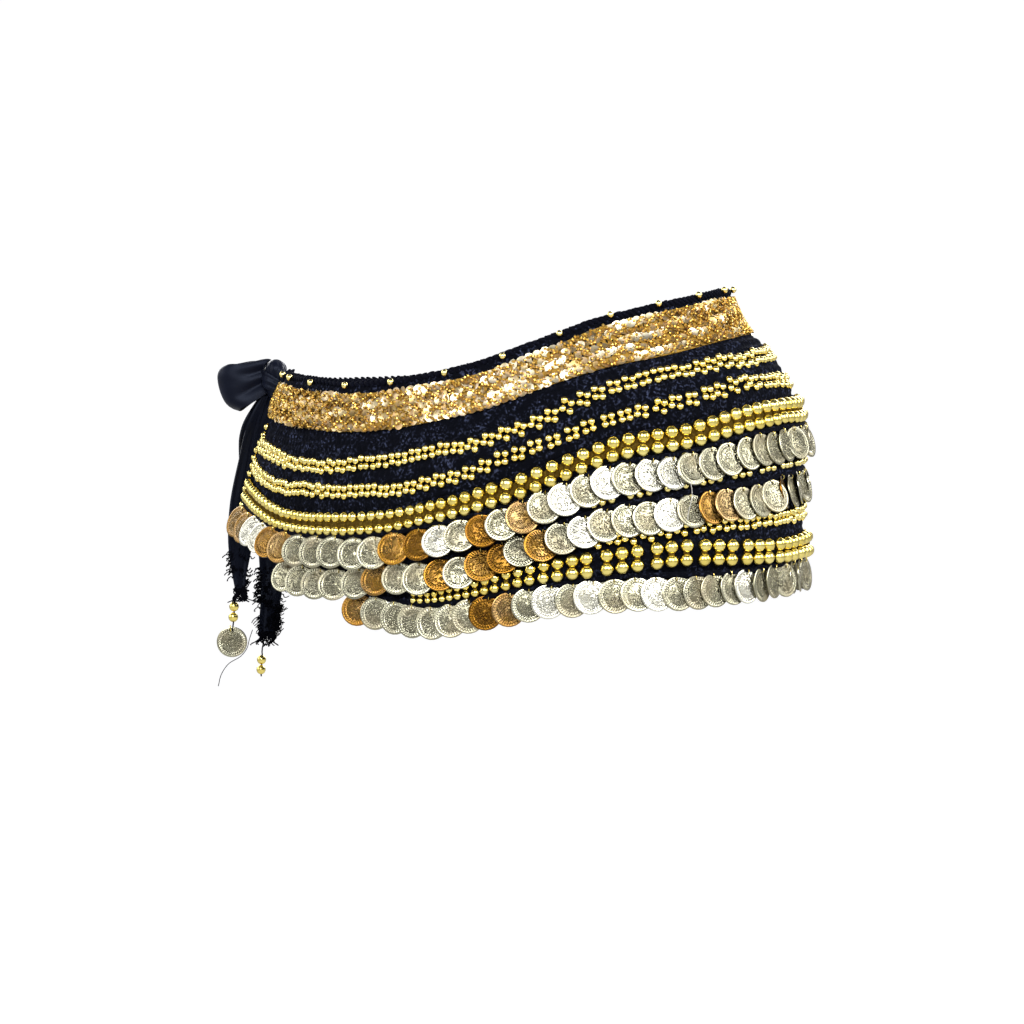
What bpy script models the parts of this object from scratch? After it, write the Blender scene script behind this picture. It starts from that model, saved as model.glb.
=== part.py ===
"""Belly dance hip scarf: a knitted scarf with a sequin band, beads and rows of coins.

The scarf is worn round a general figure's hips and tied at the wearer's right hip.
Metres, +Z up. The wearer faces -Y and the wearer's left is +X. The origin is the
middle of the hips, where the wearer's body holds the scarf up.

Azimuths are in degrees round the figure, from the wearer's front towards the left.
Sizes named here are in millimetres and are turned into metres by MM.
"""
import math
from typing import NamedTuple

import bmesh
import bpy
from mathutils import Matrix, Vector

MM = 0.001
SEAM_GAP = 0.3

# The figure inside the scarf, smooth and general. The hips lean a little to one side.
LEAN_AZIMUTH = 125.0
FIGURE_COLUMNS = ("height", "half_width", "half_depth", "lean")
FIGURE = (
    (-150, 167, 122, -1.0),
    (-130, 170, 124, -1.0),
    (-75, 175.5, 128, -1.0),
    (-35, 175, 127.7, 0.0),
    (0, 171, 125.8, 3.5),
    (15, 168, 124.3, 5.0),
    (35, 162, 120.6, 5.0),
    (50, 153, 115, 5.0),
    (58, 147, 111, 5.0),
    (68, 137, 104, 5.0),
    (80, 129, 99, 5.0),
    (97, 122, 95, 5.0),
    (115, 120, 94, 5.0),
)

# Height of the scarf's top edge all round: low on the belly, high on the left hip.
EDGE_COLUMNS = ("azimuth", "height")
EDGE = (
    (-75, 44), (-60, 45), (-45, 44), (-30, 42), (-15, 40), (0, 43), (15, 51), (30, 64),
    (45, 75), (60, 82), (75, 87), (90, 91), (105, 93), (120, 93), (135, 89), (150, 82),
    (165, 73), (180, 64), (195, 56), (210, 50), (225, 46), (240, 43), (255, 42),
    (270, 42), (285, 44), (300, 45),
)

# Half of the pattern, from its deep middle to the tied end: how far each row lies below
# the top edge. The other half is the same.
DEEP_MIDDLE = 115.0
PATTERN_COLUMNS = ("from_middle", "sequin_foot", "beads_1", "beads_2", "beads_a",
                   "coins_2", "beads_b", "coins_3")
PATTERN = (
    (0, 23, 31, 48, 65, 97, 141, 150),
    (10, 23, 32, 49, 66, 98, 141, 150),
    (25, 23, 32, 48, 65, 98, 141, 150),
    (40, 23, 31, 46, 65, 98, 138, 147),
    (55, 24, 33, 50, 69, 99, 135, 144),
    (70, 24, 35, 51, 69, 100, 131, 140),
    (85, 25, 40, 55, 73, 100, 127, 135),
    (100, 26, 42, 59, 78, 99, 125, 130.6),
    (107, 26, 43, 60, 79, 98, 124, 128.8),
    (115, 26, 44, 61, 80, 98, 119, 121),
    (130, 26, 45, 61, 80, 102, 110, 109),
    (145, 26, 45, 61, 80, 99, 106, 103),
    (160, 25, 43, 58, 75, 90, 100, 93),
    (180, 24, 40, 53, 69, 84, 92, 84),
)
HEM_BELOW_COINS = 3.4

# Knitted pieces and the trim on them.
KNIT_THICKNESS = 2.5
TIED_END = -63.0
FAR_END = 291.0
COLUMNS = 56
EDGE_CORD_RADIUS = 2.6
SEQUIN_THICKNESS = 1.2

# Bands that carry two rows of large beads, which sit a little way into the knit.
LARGE_BEAD = 8.0
LARGE_PITCH = 10.0
BEAD_SINK = 1.5
BEAD_PEAK = SEAM_GAP + LARGE_BEAD - BEAD_SINK
BEAD_ROW_STEP = 4.3
BAND_HALF_HEIGHT = 8.3
BAND_BASE = 1.8
BAND_B_REACH = 106.0
BAND_B_FULL_REACH = 76.0
BAND_B_END_SIZE = 0.5

# Coins, each on its loop in a strip that is sewn on below its beads.
COIN_DIAMETER = 19.5
COIN_THICKNESS = 0.8
COIN_PITCH = 13.6
COIN_SIDES = 8
COIN_YAW = 7.0
COIN_ROOT = 0.9
COIN_REST = 2.0
STRIP_HEIGHT = 3.0
STRIP_THICKNESS = 2.0
STRIP_DROP = 0.6


class CoinRow(NamedTuple):
    """One row of coins: where its strip lies and how far out its coins' feet stand."""

    name: str
    row: str
    below: float
    reach: float
    strip_out: float
    foot_out: float
    rest_out: float


COIN_ROWS = (
    CoinRow("coin_row_1", "beads_a", BAND_HALF_HEIGHT + STRIP_DROP, 172.0, 2.2, 5.8, 9.2),
    CoinRow("coin_row_2", "coins_2", 0.0, 145.0, 0.7, 5.8, 8.8),
    CoinRow("coin_row_3", "coins_3", STRIP_DROP, 124.0, 0.7, 4.6, 4.6),
)

# The tie: a flat knot over the two ends, one bow loop and two tails.
KNOT_AZIMUTH = (TIED_END + FAR_END - 360.0) / 2
KNOT_HEIGHT = 39.0
KNOT_OUT = 6.0
KNOT_SIZE = (17.0, 16.4, 25.0)
KNOT_ROUNDNESS = 0.7
KNOT_SIDES = 14
KNOT_RINGS = 9
RIBBON_THICKNESS = 1.5
LOOP_LENGTH = 27.5
LOOP_HALF_WIDTH = 8.0
LOOP_ROOT_HEIGHT = 20.0
LOOP_TIP_HEIGHT = 29.0
LOOP_ROOT_RISE = 2.0
LOOP_SAG = 7.5
LOOP_SLANT = 13.0
LOOP_FOREMOST_LEVEL = 0.3
LOOP_ROOT_HALF_GAP = 1.6
LOOP_FROM_KNOT = -0.75
LOOP_STATIONS = 18
TAIL_COLUMNS = ("azimuth", "height", "out", "width", "turn")
TAIL_1 = (
    (-65.3, 27.6, 6, 9, 70),
    (-65.6, 12, 7.5, 15, 62),
    (-66, -10, 8, 17, 52),
    (-66, -35, 8, 17, 50),
    (-66, -60, 8, 16, 52),
    (-66, -84, 8, 13, 60),
)
TAIL_2 = (
    (-66.8, 29.0, 6, 9, 70),
    (-70, 10, 12, 16, 40),
    (-77, -12, 15, 20, 12),
    (-85, -36, 17, 20, 4),
    (-90, -62, 17, 19, 20),
    (-89, -92, 14, 16, 40),
    (-84, -120, 12, 13, 50),
)

# What hangs from the tails: a string with two beads, and on the first also a coin.
STRING_RADIUS = 0.8
STRING_BEAD = 5.2
CHARM_COIN = 18.5
CHARM_COIN_OVERLAP = 2.0
CHARM_COIN_TURN = 38.0
CHARM_GAP = 0.6
CHARM_1_BEADS = (9.6, 15.4)
CHARM_1_COIN = 23.5
CHARM_2_BEADS = (8.0, 13.8)


def spline(table, columns, name, position, period=None):
    """Read one named column of a table as a smooth curve over its first column."""
    column = columns.index(name)
    keys = [row[0] for row in table]
    if period is not None:
        position = (position - keys[0]) % period + keys[0]
    last = len(keys) - 2
    index = max(0, min(last, sum(1 for key in keys if key <= position) - 1))

    def slope(at):
        before = max(0, at - 1)
        after = min(len(keys) - 1, at + 1)
        rise = table[after][column] - table[before][column]
        return rise / (keys[after] - keys[before])

    span = keys[index + 1] - keys[index]
    t = (position - keys[index]) / span
    start = table[index][column]
    end = table[index + 1][column]
    return ((2 * t ** 3 - 3 * t ** 2 + 1) * start
            + (t ** 3 - 2 * t ** 2 + t) * span * slope(index)
            + (3 * t ** 2 - 2 * t ** 3) * end
            + (t ** 3 - t ** 2) * span * slope(index + 1))


def figure_surface(azimuth, height):
    """A point of the figure, in millimetres."""
    angle = math.radians(azimuth)
    lean = spline(FIGURE, FIGURE_COLUMNS, "lean", height)
    half_width = spline(FIGURE, FIGURE_COLUMNS, "half_width", height)
    half_depth = spline(FIGURE, FIGURE_COLUMNS, "half_depth", height)
    lean_angle = math.radians(LEAN_AZIMUTH)
    return Vector((
        half_width * math.sin(angle) + lean * math.sin(lean_angle),
        -half_depth * math.cos(angle) - lean * math.cos(lean_angle),
        height,
    ))


def figure_normal(azimuth, height):
    """The figure's outward direction at a point."""
    around = figure_surface(azimuth + 0.5, height) - figure_surface(azimuth - 0.5, height)
    upward = figure_surface(azimuth, height + 1.0) - figure_surface(azimuth, height - 1.0)
    return around.cross(upward).normalized()


def on_figure(azimuth, height, out):
    """A point in metres that lies a distance out from the scarf's outer face."""
    return (figure_surface(azimuth, height) + out * figure_normal(azimuth, height)) * MM


def edge_height(azimuth):
    """Height of the top edge."""
    return spline(EDGE, EDGE_COLUMNS, "height", azimuth, period=360.0)


def row_height(azimuth, row, below=0.0):
    """Height of a named row of the pattern, or of a line below it."""
    from_middle = abs((azimuth - DEEP_MIDDLE + 180.0) % 360.0 - 180.0)
    return edge_height(azimuth) - spline(PATTERN, PATTERN_COLUMNS, row, from_middle) - below


def azimuths(first, last, count, height=0.0):
    """Azimuths that share a stretch of the figure into equal lengths at one height."""
    steps = 720
    lengths = [0.0]
    for step in range(steps):
        here = figure_surface(first + (last - first) * step / steps, height)
        there = figure_surface(first + (last - first) * (step + 1) / steps, height)
        lengths.append(lengths[-1] + (there - here).length)
    found = []
    step = 0
    for number in range(count + 1):
        target = lengths[-1] * number / count
        while step < steps - 1 and lengths[step + 1] < target:
            step += 1
        part = (target - lengths[step]) / (lengths[step + 1] - lengths[step])
        found.append(first + (last - first) * (step + part) / steps)
    return found


def arc_length(first, last, height=0.0):
    """Length round the figure between two azimuths, in millimetres."""
    steps = 360
    marks = [figure_surface(first + (last - first) * step / steps, height)
             for step in range(steps + 1)]
    return sum((b - a).length for a, b in zip(marks, marks[1:]))


def clear_scene():
    """Remove what is in the scene."""
    for existing in list(bpy.data.objects):
        bpy.data.objects.remove(existing, do_unlink=True)


def make_collection(name):
    """Add a collection to the scene."""
    collection = bpy.data.collections.new(name)
    bpy.context.scene.collection.children.link(collection)
    return collection


def make_material(name, colour, roughness, metallic):
    """A plain surface finish."""
    material = bpy.data.materials.new(name)
    material.use_nodes = True
    surface = material.node_tree.nodes["Principled BSDF"]
    surface.inputs["Base Color"].default_value = (*colour, 1.0)
    surface.inputs["Roughness"].default_value = roughness
    surface.inputs["Metallic"].default_value = metallic
    material.diffuse_color = (*colour, 1.0)
    return material


def add_object(name, mesh, collection, material=None, smooth_angle=40.0):
    """Put a mesh in the scene as a named object."""
    piece = bpy.data.objects.new(name, mesh)
    collection.objects.link(piece)
    if material is not None:
        mesh.materials.append(material)
        mesh.shade_smooth()
        mesh.set_sharp_from_angle(angle=math.radians(smooth_angle))
    return piece


def grid_mesh(name, grid):
    """An open surface through rows of points."""
    across = len(grid[0])
    points = [point for row in grid for point in row]
    faces = []
    for row in range(len(grid) - 1):
        for column in range(across - 1):
            corner = row * across + column
            faces.append((corner, corner + across, corner + across + 1, corner + 1))
    mesh = bpy.data.meshes.new(name)
    mesh.from_pydata(points, [], faces)
    return mesh


def ribbon_wall(name, grid, collection, material):
    """A ribbon: an open surface that is given its thickness by Solidify."""
    wall = add_object(name, grid_mesh(name, grid), collection, material)
    solidify = wall.modifiers.new("Thickness", "SOLIDIFY")
    solidify.thickness = RIBBON_THICKNESS * MM
    solidify.offset = 0.0
    solidify.use_even_offset = False
    return wall


def figure_wall(name, rows, places, outs, collection, material):
    """A wall that follows the figure between two distances out from it.

    Its outer and inner faces come from the same azimuths and heights and are split along
    the same diagonals, so walls that meet or lie on each other stay the same gap apart.
    """
    inner_out, outer_out = outs
    mesh = bmesh.new()

    def column_of(azimuth, out):
        return [mesh.verts.new(on_figure(azimuth, row(azimuth), out)) for row in rows]

    outer = [column_of(azimuth, outer_out) for azimuth in places]
    inner = [column_of(azimuth, inner_out) for azimuth in places]
    last = len(rows) - 1
    for here in range(len(places) - 1):
        there = here + 1
        for row in range(last):
            for face, turned in ((outer, False), (inner, True)):
                lower = (face[here][row], face[here][row + 1], face[there][row + 1])
                upper = (face[here][row], face[there][row + 1], face[there][row])
                mesh.faces.new(lower[::-1] if turned else lower)
                mesh.faces.new(upper[::-1] if turned else upper)
        mesh.faces.new((outer[here][0], outer[there][0], inner[there][0], inner[here][0]))
        mesh.faces.new((inner[here][last], inner[there][last],
                        outer[there][last], outer[here][last]))
    for row in range(last):
        mesh.faces.new((outer[0][row], inner[0][row], inner[0][row + 1], outer[0][row + 1]))
        mesh.faces.new((inner[-1][row], outer[-1][row],
                        outer[-1][row + 1], inner[-1][row + 1]))
    bmesh.ops.recalc_face_normals(mesh, faces=mesh.faces)
    data = bpy.data.meshes.new(name)
    mesh.to_mesh(data)
    mesh.free()
    return add_object(name, data, collection, material)


def knit_panel(name, rows, collection, material):
    """A knitted panel that follows the figure, from its top row of points to its foot."""
    places = azimuths(TIED_END, FAR_END, COLUMNS)
    return figure_wall(name, rows, places, (-KNIT_THICKNESS, 0.0), collection, material)


def yoke_rows():
    """The yoke's rows of points, from under the edge cord to above the large beads."""
    start = EDGE_CORD_RADIUS + SEAM_GAP

    def sequin_row(share):
        return lambda azimuth: (
            edge_height(azimuth) - start
            + share * (row_height(azimuth, "sequin_foot") - edge_height(azimuth) + start))

    return [
        sequin_row(0.0),
        sequin_row(0.5),
        sequin_row(1.0),
        lambda azimuth: row_height(azimuth, "beads_1"),
        lambda azimuth: row_height(azimuth, "beads_2"),
        lambda azimuth: row_height(azimuth, "beads_a", -BAND_HALF_HEIGHT - SEAM_GAP),
    ]


def make_yoke(collection, material):
    """The upper knitted panel, which carries the sequin band and the small beads."""
    return knit_panel("yoke", yoke_rows(), collection, material)


def make_sequin_band(collection, material):
    """The sequin band, made from the yoke's own upper points, moved out."""
    places = azimuths(TIED_END, FAR_END, COLUMNS)
    outs = (SEAM_GAP, SEAM_GAP + SEQUIN_THICKNESS)
    return figure_wall("sequin_band", yoke_rows()[:3], places, outs, collection, material)


def make_lower_panel(collection, material):
    """The lower knitted panel, which hangs from the yoke and carries the coins."""
    def below_band(share):
        def height(azimuth):
            top = row_height(azimuth, "beads_a", BAND_HALF_HEIGHT)
            return top + share * (row_height(azimuth, "coins_3", HEM_BELOW_COINS) - top)
        return height

    rows = [lambda azimuth: row_height(azimuth, "beads_a", -BAND_HALF_HEIGHT)]
    rows.extend(below_band(share) for share in (0.0, 0.35, 0.7, 1.0))
    return knit_panel("lower_panel", rows, collection, material)


def make_edge_cord(collection, material):
    """The crocheted cord along the top edge."""
    curve = bpy.data.curves.new("edge_cord", "CURVE")
    curve.dimensions = "3D"
    curve.bevel_depth = EDGE_CORD_RADIUS * MM
    curve.bevel_resolution = 1
    curve.use_fill_caps = True
    places = azimuths(TIED_END, FAR_END, COLUMNS)
    line = curve.splines.new("POLY")
    line.points.add(len(places) - 1)
    for point, azimuth in zip(line.points, places):
        point.co = (*on_figure(azimuth, edge_height(azimuth), -KNIT_THICKNESS / 2), 1.0)
    cord = bpy.data.objects.new("edge_cord", curve)
    collection.objects.link(cord)
    curve.materials.append(material)
    return cord


def band_b_size(azimuth):
    """Size of the beads of the second band: full round the deep middle, less at its ends."""
    from_middle = abs(azimuth - DEEP_MIDDLE)
    share = (from_middle - BAND_B_FULL_REACH) / (BAND_B_REACH - BAND_B_FULL_REACH)
    return 1.0 - (1.0 - BAND_B_END_SIZE) * max(0.0, min(1.0, share))


def make_bead_band(name, row, ends, size_at, collection, material):
    """A band with two rows of large beads raised in its outer points, plain inside."""
    beads = round(arc_length(*ends) / LARGE_PITCH)
    outer_rows = (
        (-BAND_HALF_HEIGHT, 0.0),
        (-BEAD_ROW_STEP, BEAD_PEAK - BAND_BASE),
        (0.0, 0.8),
        (BEAD_ROW_STEP, BEAD_PEAK - BAND_BASE),
        (BAND_HALF_HEIGHT, 1.2),
    )
    mesh = bmesh.new()
    loops = []
    for column, azimuth in enumerate(azimuths(*ends, 2 * beads)):
        size = size_at(azimuth)
        at_bead = column % 2
        loop = []
        for below, rise in outer_rows:
            height = row_height(azimuth, row, below * size)
            out = BAND_BASE + rise * size * at_bead
            loop.append(mesh.verts.new(on_figure(azimuth, height, out)))
        for below in (BAND_HALF_HEIGHT, -BAND_HALF_HEIGHT):
            height = row_height(azimuth, row, below * size)
            loop.append(mesh.verts.new(on_figure(azimuth, height, SEAM_GAP)))
        loops.append(loop)
    around = len(loops[0])
    for here, there in zip(loops, loops[1:]):
        for corner in range(around):
            following = (corner + 1) % around
            mesh.faces.new((here[corner], here[following], there[following], there[corner]))
    mesh.faces.new(loops[0][::-1])
    mesh.faces.new(loops[-1])
    bmesh.ops.recalc_face_normals(mesh, faces=mesh.faces)
    band = bpy.data.meshes.new(name)
    mesh.to_mesh(band)
    mesh.free()
    return add_object(name, band, collection, material)


def what_lies_under(azimuth, row):
    """Height of the top of the trim that a coin row's feet may rest on."""
    if row == "beads_a":
        return row_height(azimuth, "coins_2")
    if row == "coins_2" and abs(azimuth - DEEP_MIDDLE) < BAND_B_REACH:
        return row_height(azimuth, "beads_b", -BAND_HALF_HEIGHT * band_b_size(azimuth))
    return row_height(azimuth, "coins_3")


def coin_foot_out(azimuth, foot_height, coin_row):
    """How far out a coin's foot stands: further where it rests on the trim below it."""
    overlap = what_lies_under(azimuth, coin_row.row) - foot_height
    share = max(0.0, min(1.0, (overlap + COIN_REST) / (2 * COIN_REST)))
    return coin_row.foot_out + share * (coin_row.rest_out - coin_row.foot_out)


def coin_matrix(azimuth, root_height, out, foot_out):
    """Where a coin hangs: its top in the strip, its face turned a little, its foot out."""
    root = on_figure(azimuth, root_height, out)
    foot = on_figure(azimuth, root_height - COIN_DIAMETER, foot_out)
    upward = (root - foot).normalized()
    outward = figure_normal(azimuth, root_height)
    sideways = upward.cross(outward).normalized()
    outward = sideways.cross(upward)
    frame = Matrix((sideways, upward, outward)).transposed().to_4x4()
    yaw = Matrix.Rotation(math.radians(COIN_YAW), 4, "Y")
    centre = root - upward * (COIN_DIAMETER / 2 - COIN_ROOT) * MM
    return Matrix.Translation(centre) @ frame @ yaw @ Matrix.Rotation(math.pi / 2, 4, "Z")


def make_coins(name, places, root_of, cutters):
    """The coins of one row, which stand apart from each other."""
    mesh = bmesh.new()
    for azimuth in places:
        bmesh.ops.create_cone(
            mesh, cap_ends=True, cap_tris=False, segments=COIN_SIDES,
            radius1=COIN_DIAMETER / 2 * MM, radius2=COIN_DIAMETER / 2 * MM,
            depth=COIN_THICKNESS * MM, matrix=coin_matrix(azimuth, *root_of(azimuth)))
    data = bpy.data.meshes.new(name + "_coins")
    mesh.to_mesh(data)
    mesh.free()
    coins = add_object(name + "_coins", data, cutters)
    coins.hide_render = True
    coins.display_type = "WIRE"
    return coins


def make_coin_row(coin_row, collections, material):
    """A narrow strip with its coins fused to it at their tops."""
    def edge(below):
        return lambda azimuth: row_height(azimuth, coin_row.row, coin_row.below + below)

    def root_of(azimuth):
        height = edge(STRIP_HEIGHT)(azimuth)
        foot = coin_foot_out(azimuth, height - COIN_DIAMETER, coin_row)
        return height, coin_row.strip_out + STRIP_THICKNESS / 2, foot

    parts, cutters = collections
    first = max(TIED_END, DEEP_MIDDLE - coin_row.reach)
    last = min(FAR_END, DEEP_MIDDLE + coin_row.reach)
    count = round(arc_length(first, last) / COIN_PITCH)
    places = azimuths(first, last, 2 * count)
    outs = (coin_row.strip_out, coin_row.strip_out + STRIP_THICKNESS)
    strip = figure_wall(coin_row.name, [edge(0.0), edge(STRIP_HEIGHT)], places[::2], outs,
                        parts, material)
    coins = make_coins(coin_row.name, places[1::2], root_of, cutters)
    union = strip.modifiers.new("Coins", "BOOLEAN")
    union.operation = "UNION"
    union.solver = "EXACT"
    union.object = coins
    return strip


def knot_frame():
    """The knot's centre and its own directions: outward, round the figure and up."""
    outward = figure_normal(KNOT_AZIMUTH, KNOT_HEIGHT)
    outward.z = 0.0
    outward.normalize()
    up = Vector((0.0, 0.0, 1.0))
    return on_figure(KNOT_AZIMUTH, KNOT_HEIGHT, KNOT_OUT), outward, up.cross(outward), up


def make_knot(collection, material):
    """The knot: a soft lump, drawn in at its middle, with soft slanting folds."""
    centre, outward, around, up = knot_frame()
    mesh = bmesh.new()
    bmesh.ops.create_uvsphere(mesh, u_segments=KNOT_SIDES, v_segments=KNOT_RINGS, radius=0.5)
    for vertex in mesh.verts:
        x, y, z = vertex.co
        level = math.copysign(abs(2 * z) ** KNOT_ROUNDNESS, z)
        pinch = 0.84 + 0.30 * level ** 2 - 0.34 * level ** 4
        fold = 1.0 + 0.05 * math.sin(3 * math.atan2(y, x) + 4.5 * level)
        vertex.co = centre + MM * (KNOT_SIZE[0] * x * pinch * fold * outward
                                   + KNOT_SIZE[1] * y * pinch * fold * around
                                   + KNOT_SIZE[2] * level / 2 * up)
    data = bpy.data.meshes.new("knot")
    mesh.to_mesh(data)
    mesh.free()
    return add_object("knot", data, collection, material, smooth_angle=60.0)


def make_bow_loop(collection, material):
    """The bow loop: a ribbon that leaves the knot, turns and comes back to it."""
    centre, outward, around, up = knot_frame()
    start = KNOT_SIZE[0] / 2 + LOOP_FROM_KNOT
    grid = []
    for level in (0.5, 0.25, 0.0, -0.25, -0.5):
        row = []
        for station in range(LOOP_STATIONS + 1):
            turn = math.pi * (2.0 * station / LOOP_STATIONS - 1.0)
            share = 0.5 + 0.5 * math.cos(turn)
            reach = start + LOOP_LENGTH * share
            side = (LOOP_HALF_WIDTH * math.sin(turn) * math.sqrt(max(share, 0.0))
                    + math.copysign(LOOP_ROOT_HALF_GAP, turn) * (1.0 - share))
            height = LOOP_ROOT_HEIGHT + (LOOP_TIP_HEIGHT - LOOP_ROOT_HEIGHT) * share
            lift = LOOP_ROOT_RISE - LOOP_SAG * share + height * level
            slant = -LOOP_SLANT * share * (LOOP_FOREMOST_LEVEL - level) ** 2
            row.append(centre + MM * ((reach + slant) * outward + side * around + lift * up))
        grid.append(row)
    return ribbon_wall("bow_loop", grid, collection, material)


def tail_grid(table, stations=13, across=4):
    """Points over a hanging ribbon, from its stations' places, widths and turns."""
    rows = []
    keyed = [(index, *row) for index, row in enumerate(table)]
    columns = ("station",) + TAIL_COLUMNS
    for step in range(stations):
        at = (len(table) - 1) * step / (stations - 1)
        azimuth, height, out, width, turn = (
            spline(keyed, columns, name, at) for name in TAIL_COLUMNS)
        outward = figure_normal(azimuth, height)
        outward.z = 0.0
        outward.normalize()
        around = Vector((0.0, 0.0, 1.0)).cross(outward)
        angle = math.radians(turn)
        across_way = around * math.cos(angle) + outward * math.sin(angle)
        middle = on_figure(azimuth, height, out)
        rows.append([middle + MM * width * (column / (across - 1) - 0.5) * across_way
                     for column in range(across)])
    return rows


def make_tail(name, table, collection, material):
    """One tail of the tie."""
    return ribbon_wall(name, tail_grid(table), collection, material)


def string_solid(name, top, length, collection):
    """A short string that hangs straight down, as a thin closed rod."""
    mesh = bmesh.new()
    bmesh.ops.create_cone(
        mesh, cap_ends=True, cap_tris=False, segments=6, radius1=STRING_RADIUS * MM,
        radius2=STRING_RADIUS * MM, depth=length * MM,
        matrix=Matrix.Translation(top - Vector((0.0, 0.0, length * MM / 2))))
    data = bpy.data.meshes.new(name)
    mesh.to_mesh(data)
    mesh.free()
    return add_object(name, data, collection)


def make_charm(name, top, drops, coin_drop, collections, material):
    """A string below a tail, with its beads and, on one of them, a coin."""
    parts, cutters = collections
    length = drops[-1] if coin_drop is None else coin_drop
    string = string_solid(name, top, length, parts)
    string.data.materials.append(material)
    mesh = bmesh.new()
    for drop in drops:
        place = Matrix.Translation(top - Vector((0.0, 0.0, drop * MM)))
        bmesh.ops.create_uvsphere(mesh, u_segments=8, v_segments=6,
                                  radius=STRING_BEAD / 2 * MM, matrix=place)
    if coin_drop is not None:
        below = coin_drop + CHARM_COIN / 2 - CHARM_COIN_OVERLAP
        centre = top - Vector((0.0, 0.0, below * MM))
        upright = Matrix.Rotation(math.pi / 2, 4, "X")
        facing = Matrix.Rotation(math.radians(CHARM_COIN_TURN), 4, "Z") @ upright
        bmesh.ops.create_cone(
            mesh, cap_ends=True, cap_tris=False, segments=14, radius1=CHARM_COIN / 2 * MM,
            radius2=CHARM_COIN / 2 * MM, depth=COIN_THICKNESS * MM,
            matrix=Matrix.Translation(centre) @ facing)
    data = bpy.data.meshes.new(name + "_beads")
    mesh.to_mesh(data)
    mesh.free()
    beads = add_object(name + "_beads", data, cutters)
    beads.hide_render = True
    beads.display_type = "WIRE"
    union = string.modifiers.new("Beads", "BOOLEAN")
    union.operation = "UNION"
    union.solver = "EXACT"
    union.object = beads
    return string


def tail_foot(table):
    """The point just below the middle of a tail's end."""
    last = tail_grid(table)[-1]
    middle = sum(last, Vector()) / len(last)
    return middle - Vector((0.0, 0.0, CHARM_GAP * MM))


def make_tie(collections, ribbon, brass):
    """The knot, the bow loop, both tails and what hangs from them."""
    parts = collections[0]
    make_knot(parts, ribbon)
    make_bow_loop(parts, ribbon)
    make_tail("tail_1", TAIL_1, parts, ribbon)
    make_tail("tail_2", TAIL_2, parts, ribbon)
    make_charm("tail_1_charm", tail_foot(TAIL_1), CHARM_1_BEADS, CHARM_1_COIN,
               collections, brass)
    make_charm("tail_2_charm", tail_foot(TAIL_2), CHARM_2_BEADS, None, collections, brass)


def main():
    """Build the scarf."""
    clear_scene()
    parts = make_collection("belly_dance_hip_scarf")
    cutters = make_collection("cutters")
    collections = (parts, cutters)
    knit = make_material("navy_black_knit", (0.010, 0.011, 0.030), 0.95, 0.0)
    ribbon = make_material("black_ribbon", (0.006, 0.007, 0.014), 0.55, 0.0)
    sequins = make_material("gold_sequins", (0.80, 0.55, 0.18), 0.30, 1.0)
    beads = make_material("gold_beads", (0.82, 0.62, 0.16), 0.22, 1.0)
    coins = make_material("pale_gold_coins", (0.80, 0.74, 0.55), 0.30, 1.0)
    make_edge_cord(parts, knit)
    make_yoke(parts, knit)
    make_sequin_band(parts, sequins)
    make_lower_panel(parts, knit)
    make_bead_band("bead_band_a", "beads_a", (TIED_END, FAR_END), lambda azimuth: 1.0,
                   parts, beads)
    make_bead_band("bead_band_b", "beads_b",
                   (DEEP_MIDDLE - BAND_B_REACH, DEEP_MIDDLE + BAND_B_REACH), band_b_size,
                   parts, beads)
    for coin_row in COIN_ROWS:
        make_coin_row(coin_row, collections, coins)
    make_tie(collections, ribbon, beads)


main()
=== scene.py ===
"""Belly dance hip scarf: the looks of its knit, sequins, beads, coins and ribbon tie.

The scarf is worn round a smooth general figure and tied at the wearer's right hip.
Metres, +Z up; the wearer faces -Y and the wearer's left is +X. Azimuths are in degrees
round the figure, from the wearer's front towards the left. Tables and sizes are in
millimetres, and MM turns them into metres.
"""
from __future__ import annotations

import logging
import math
from dataclasses import dataclass, field
from enum import Enum
from functools import partial

import bmesh
import bpy
import numpy as np
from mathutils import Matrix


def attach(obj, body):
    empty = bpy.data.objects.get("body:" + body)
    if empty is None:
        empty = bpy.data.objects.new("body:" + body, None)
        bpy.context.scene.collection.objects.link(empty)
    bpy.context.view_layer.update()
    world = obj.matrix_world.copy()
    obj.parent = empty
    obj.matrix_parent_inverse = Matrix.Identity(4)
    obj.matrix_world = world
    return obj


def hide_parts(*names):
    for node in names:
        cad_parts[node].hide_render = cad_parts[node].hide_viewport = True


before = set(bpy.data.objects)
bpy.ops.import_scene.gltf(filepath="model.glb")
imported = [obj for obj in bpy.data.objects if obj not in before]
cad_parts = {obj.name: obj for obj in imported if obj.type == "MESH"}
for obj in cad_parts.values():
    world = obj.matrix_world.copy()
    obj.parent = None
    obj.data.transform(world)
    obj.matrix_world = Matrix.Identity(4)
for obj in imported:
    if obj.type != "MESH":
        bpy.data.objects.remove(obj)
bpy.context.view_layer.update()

LOG = logging.getLogger("hip_scarf")
MM = 0.001
Array = np.ndarray
Values = np.ndarray | float
Node = bpy.types.Node
Socket = bpy.types.NodeSocket
Colour = tuple[float, float, float]

# The figure inside the scarf, smooth and general. The hips lean a little to one side.
LEAN_AZIMUTH = 125.0
FIGURE_COLUMNS = ("height", "half_width", "half_depth", "lean")
FIGURE = (
    (-150, 167, 122, -1.0), (-130, 170, 124, -1.0), (-75, 175.5, 128, -1.0),
    (-35, 175, 127.7, 0.0), (0, 171, 125.8, 3.5), (15, 168, 124.3, 5.0),
    (35, 162, 120.6, 5.0), (50, 153, 115, 5.0), (58, 147, 111, 5.0), (68, 137, 104, 5.0),
    (80, 129, 99, 5.0), (97, 122, 95, 5.0), (115, 120, 94, 5.0))

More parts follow.
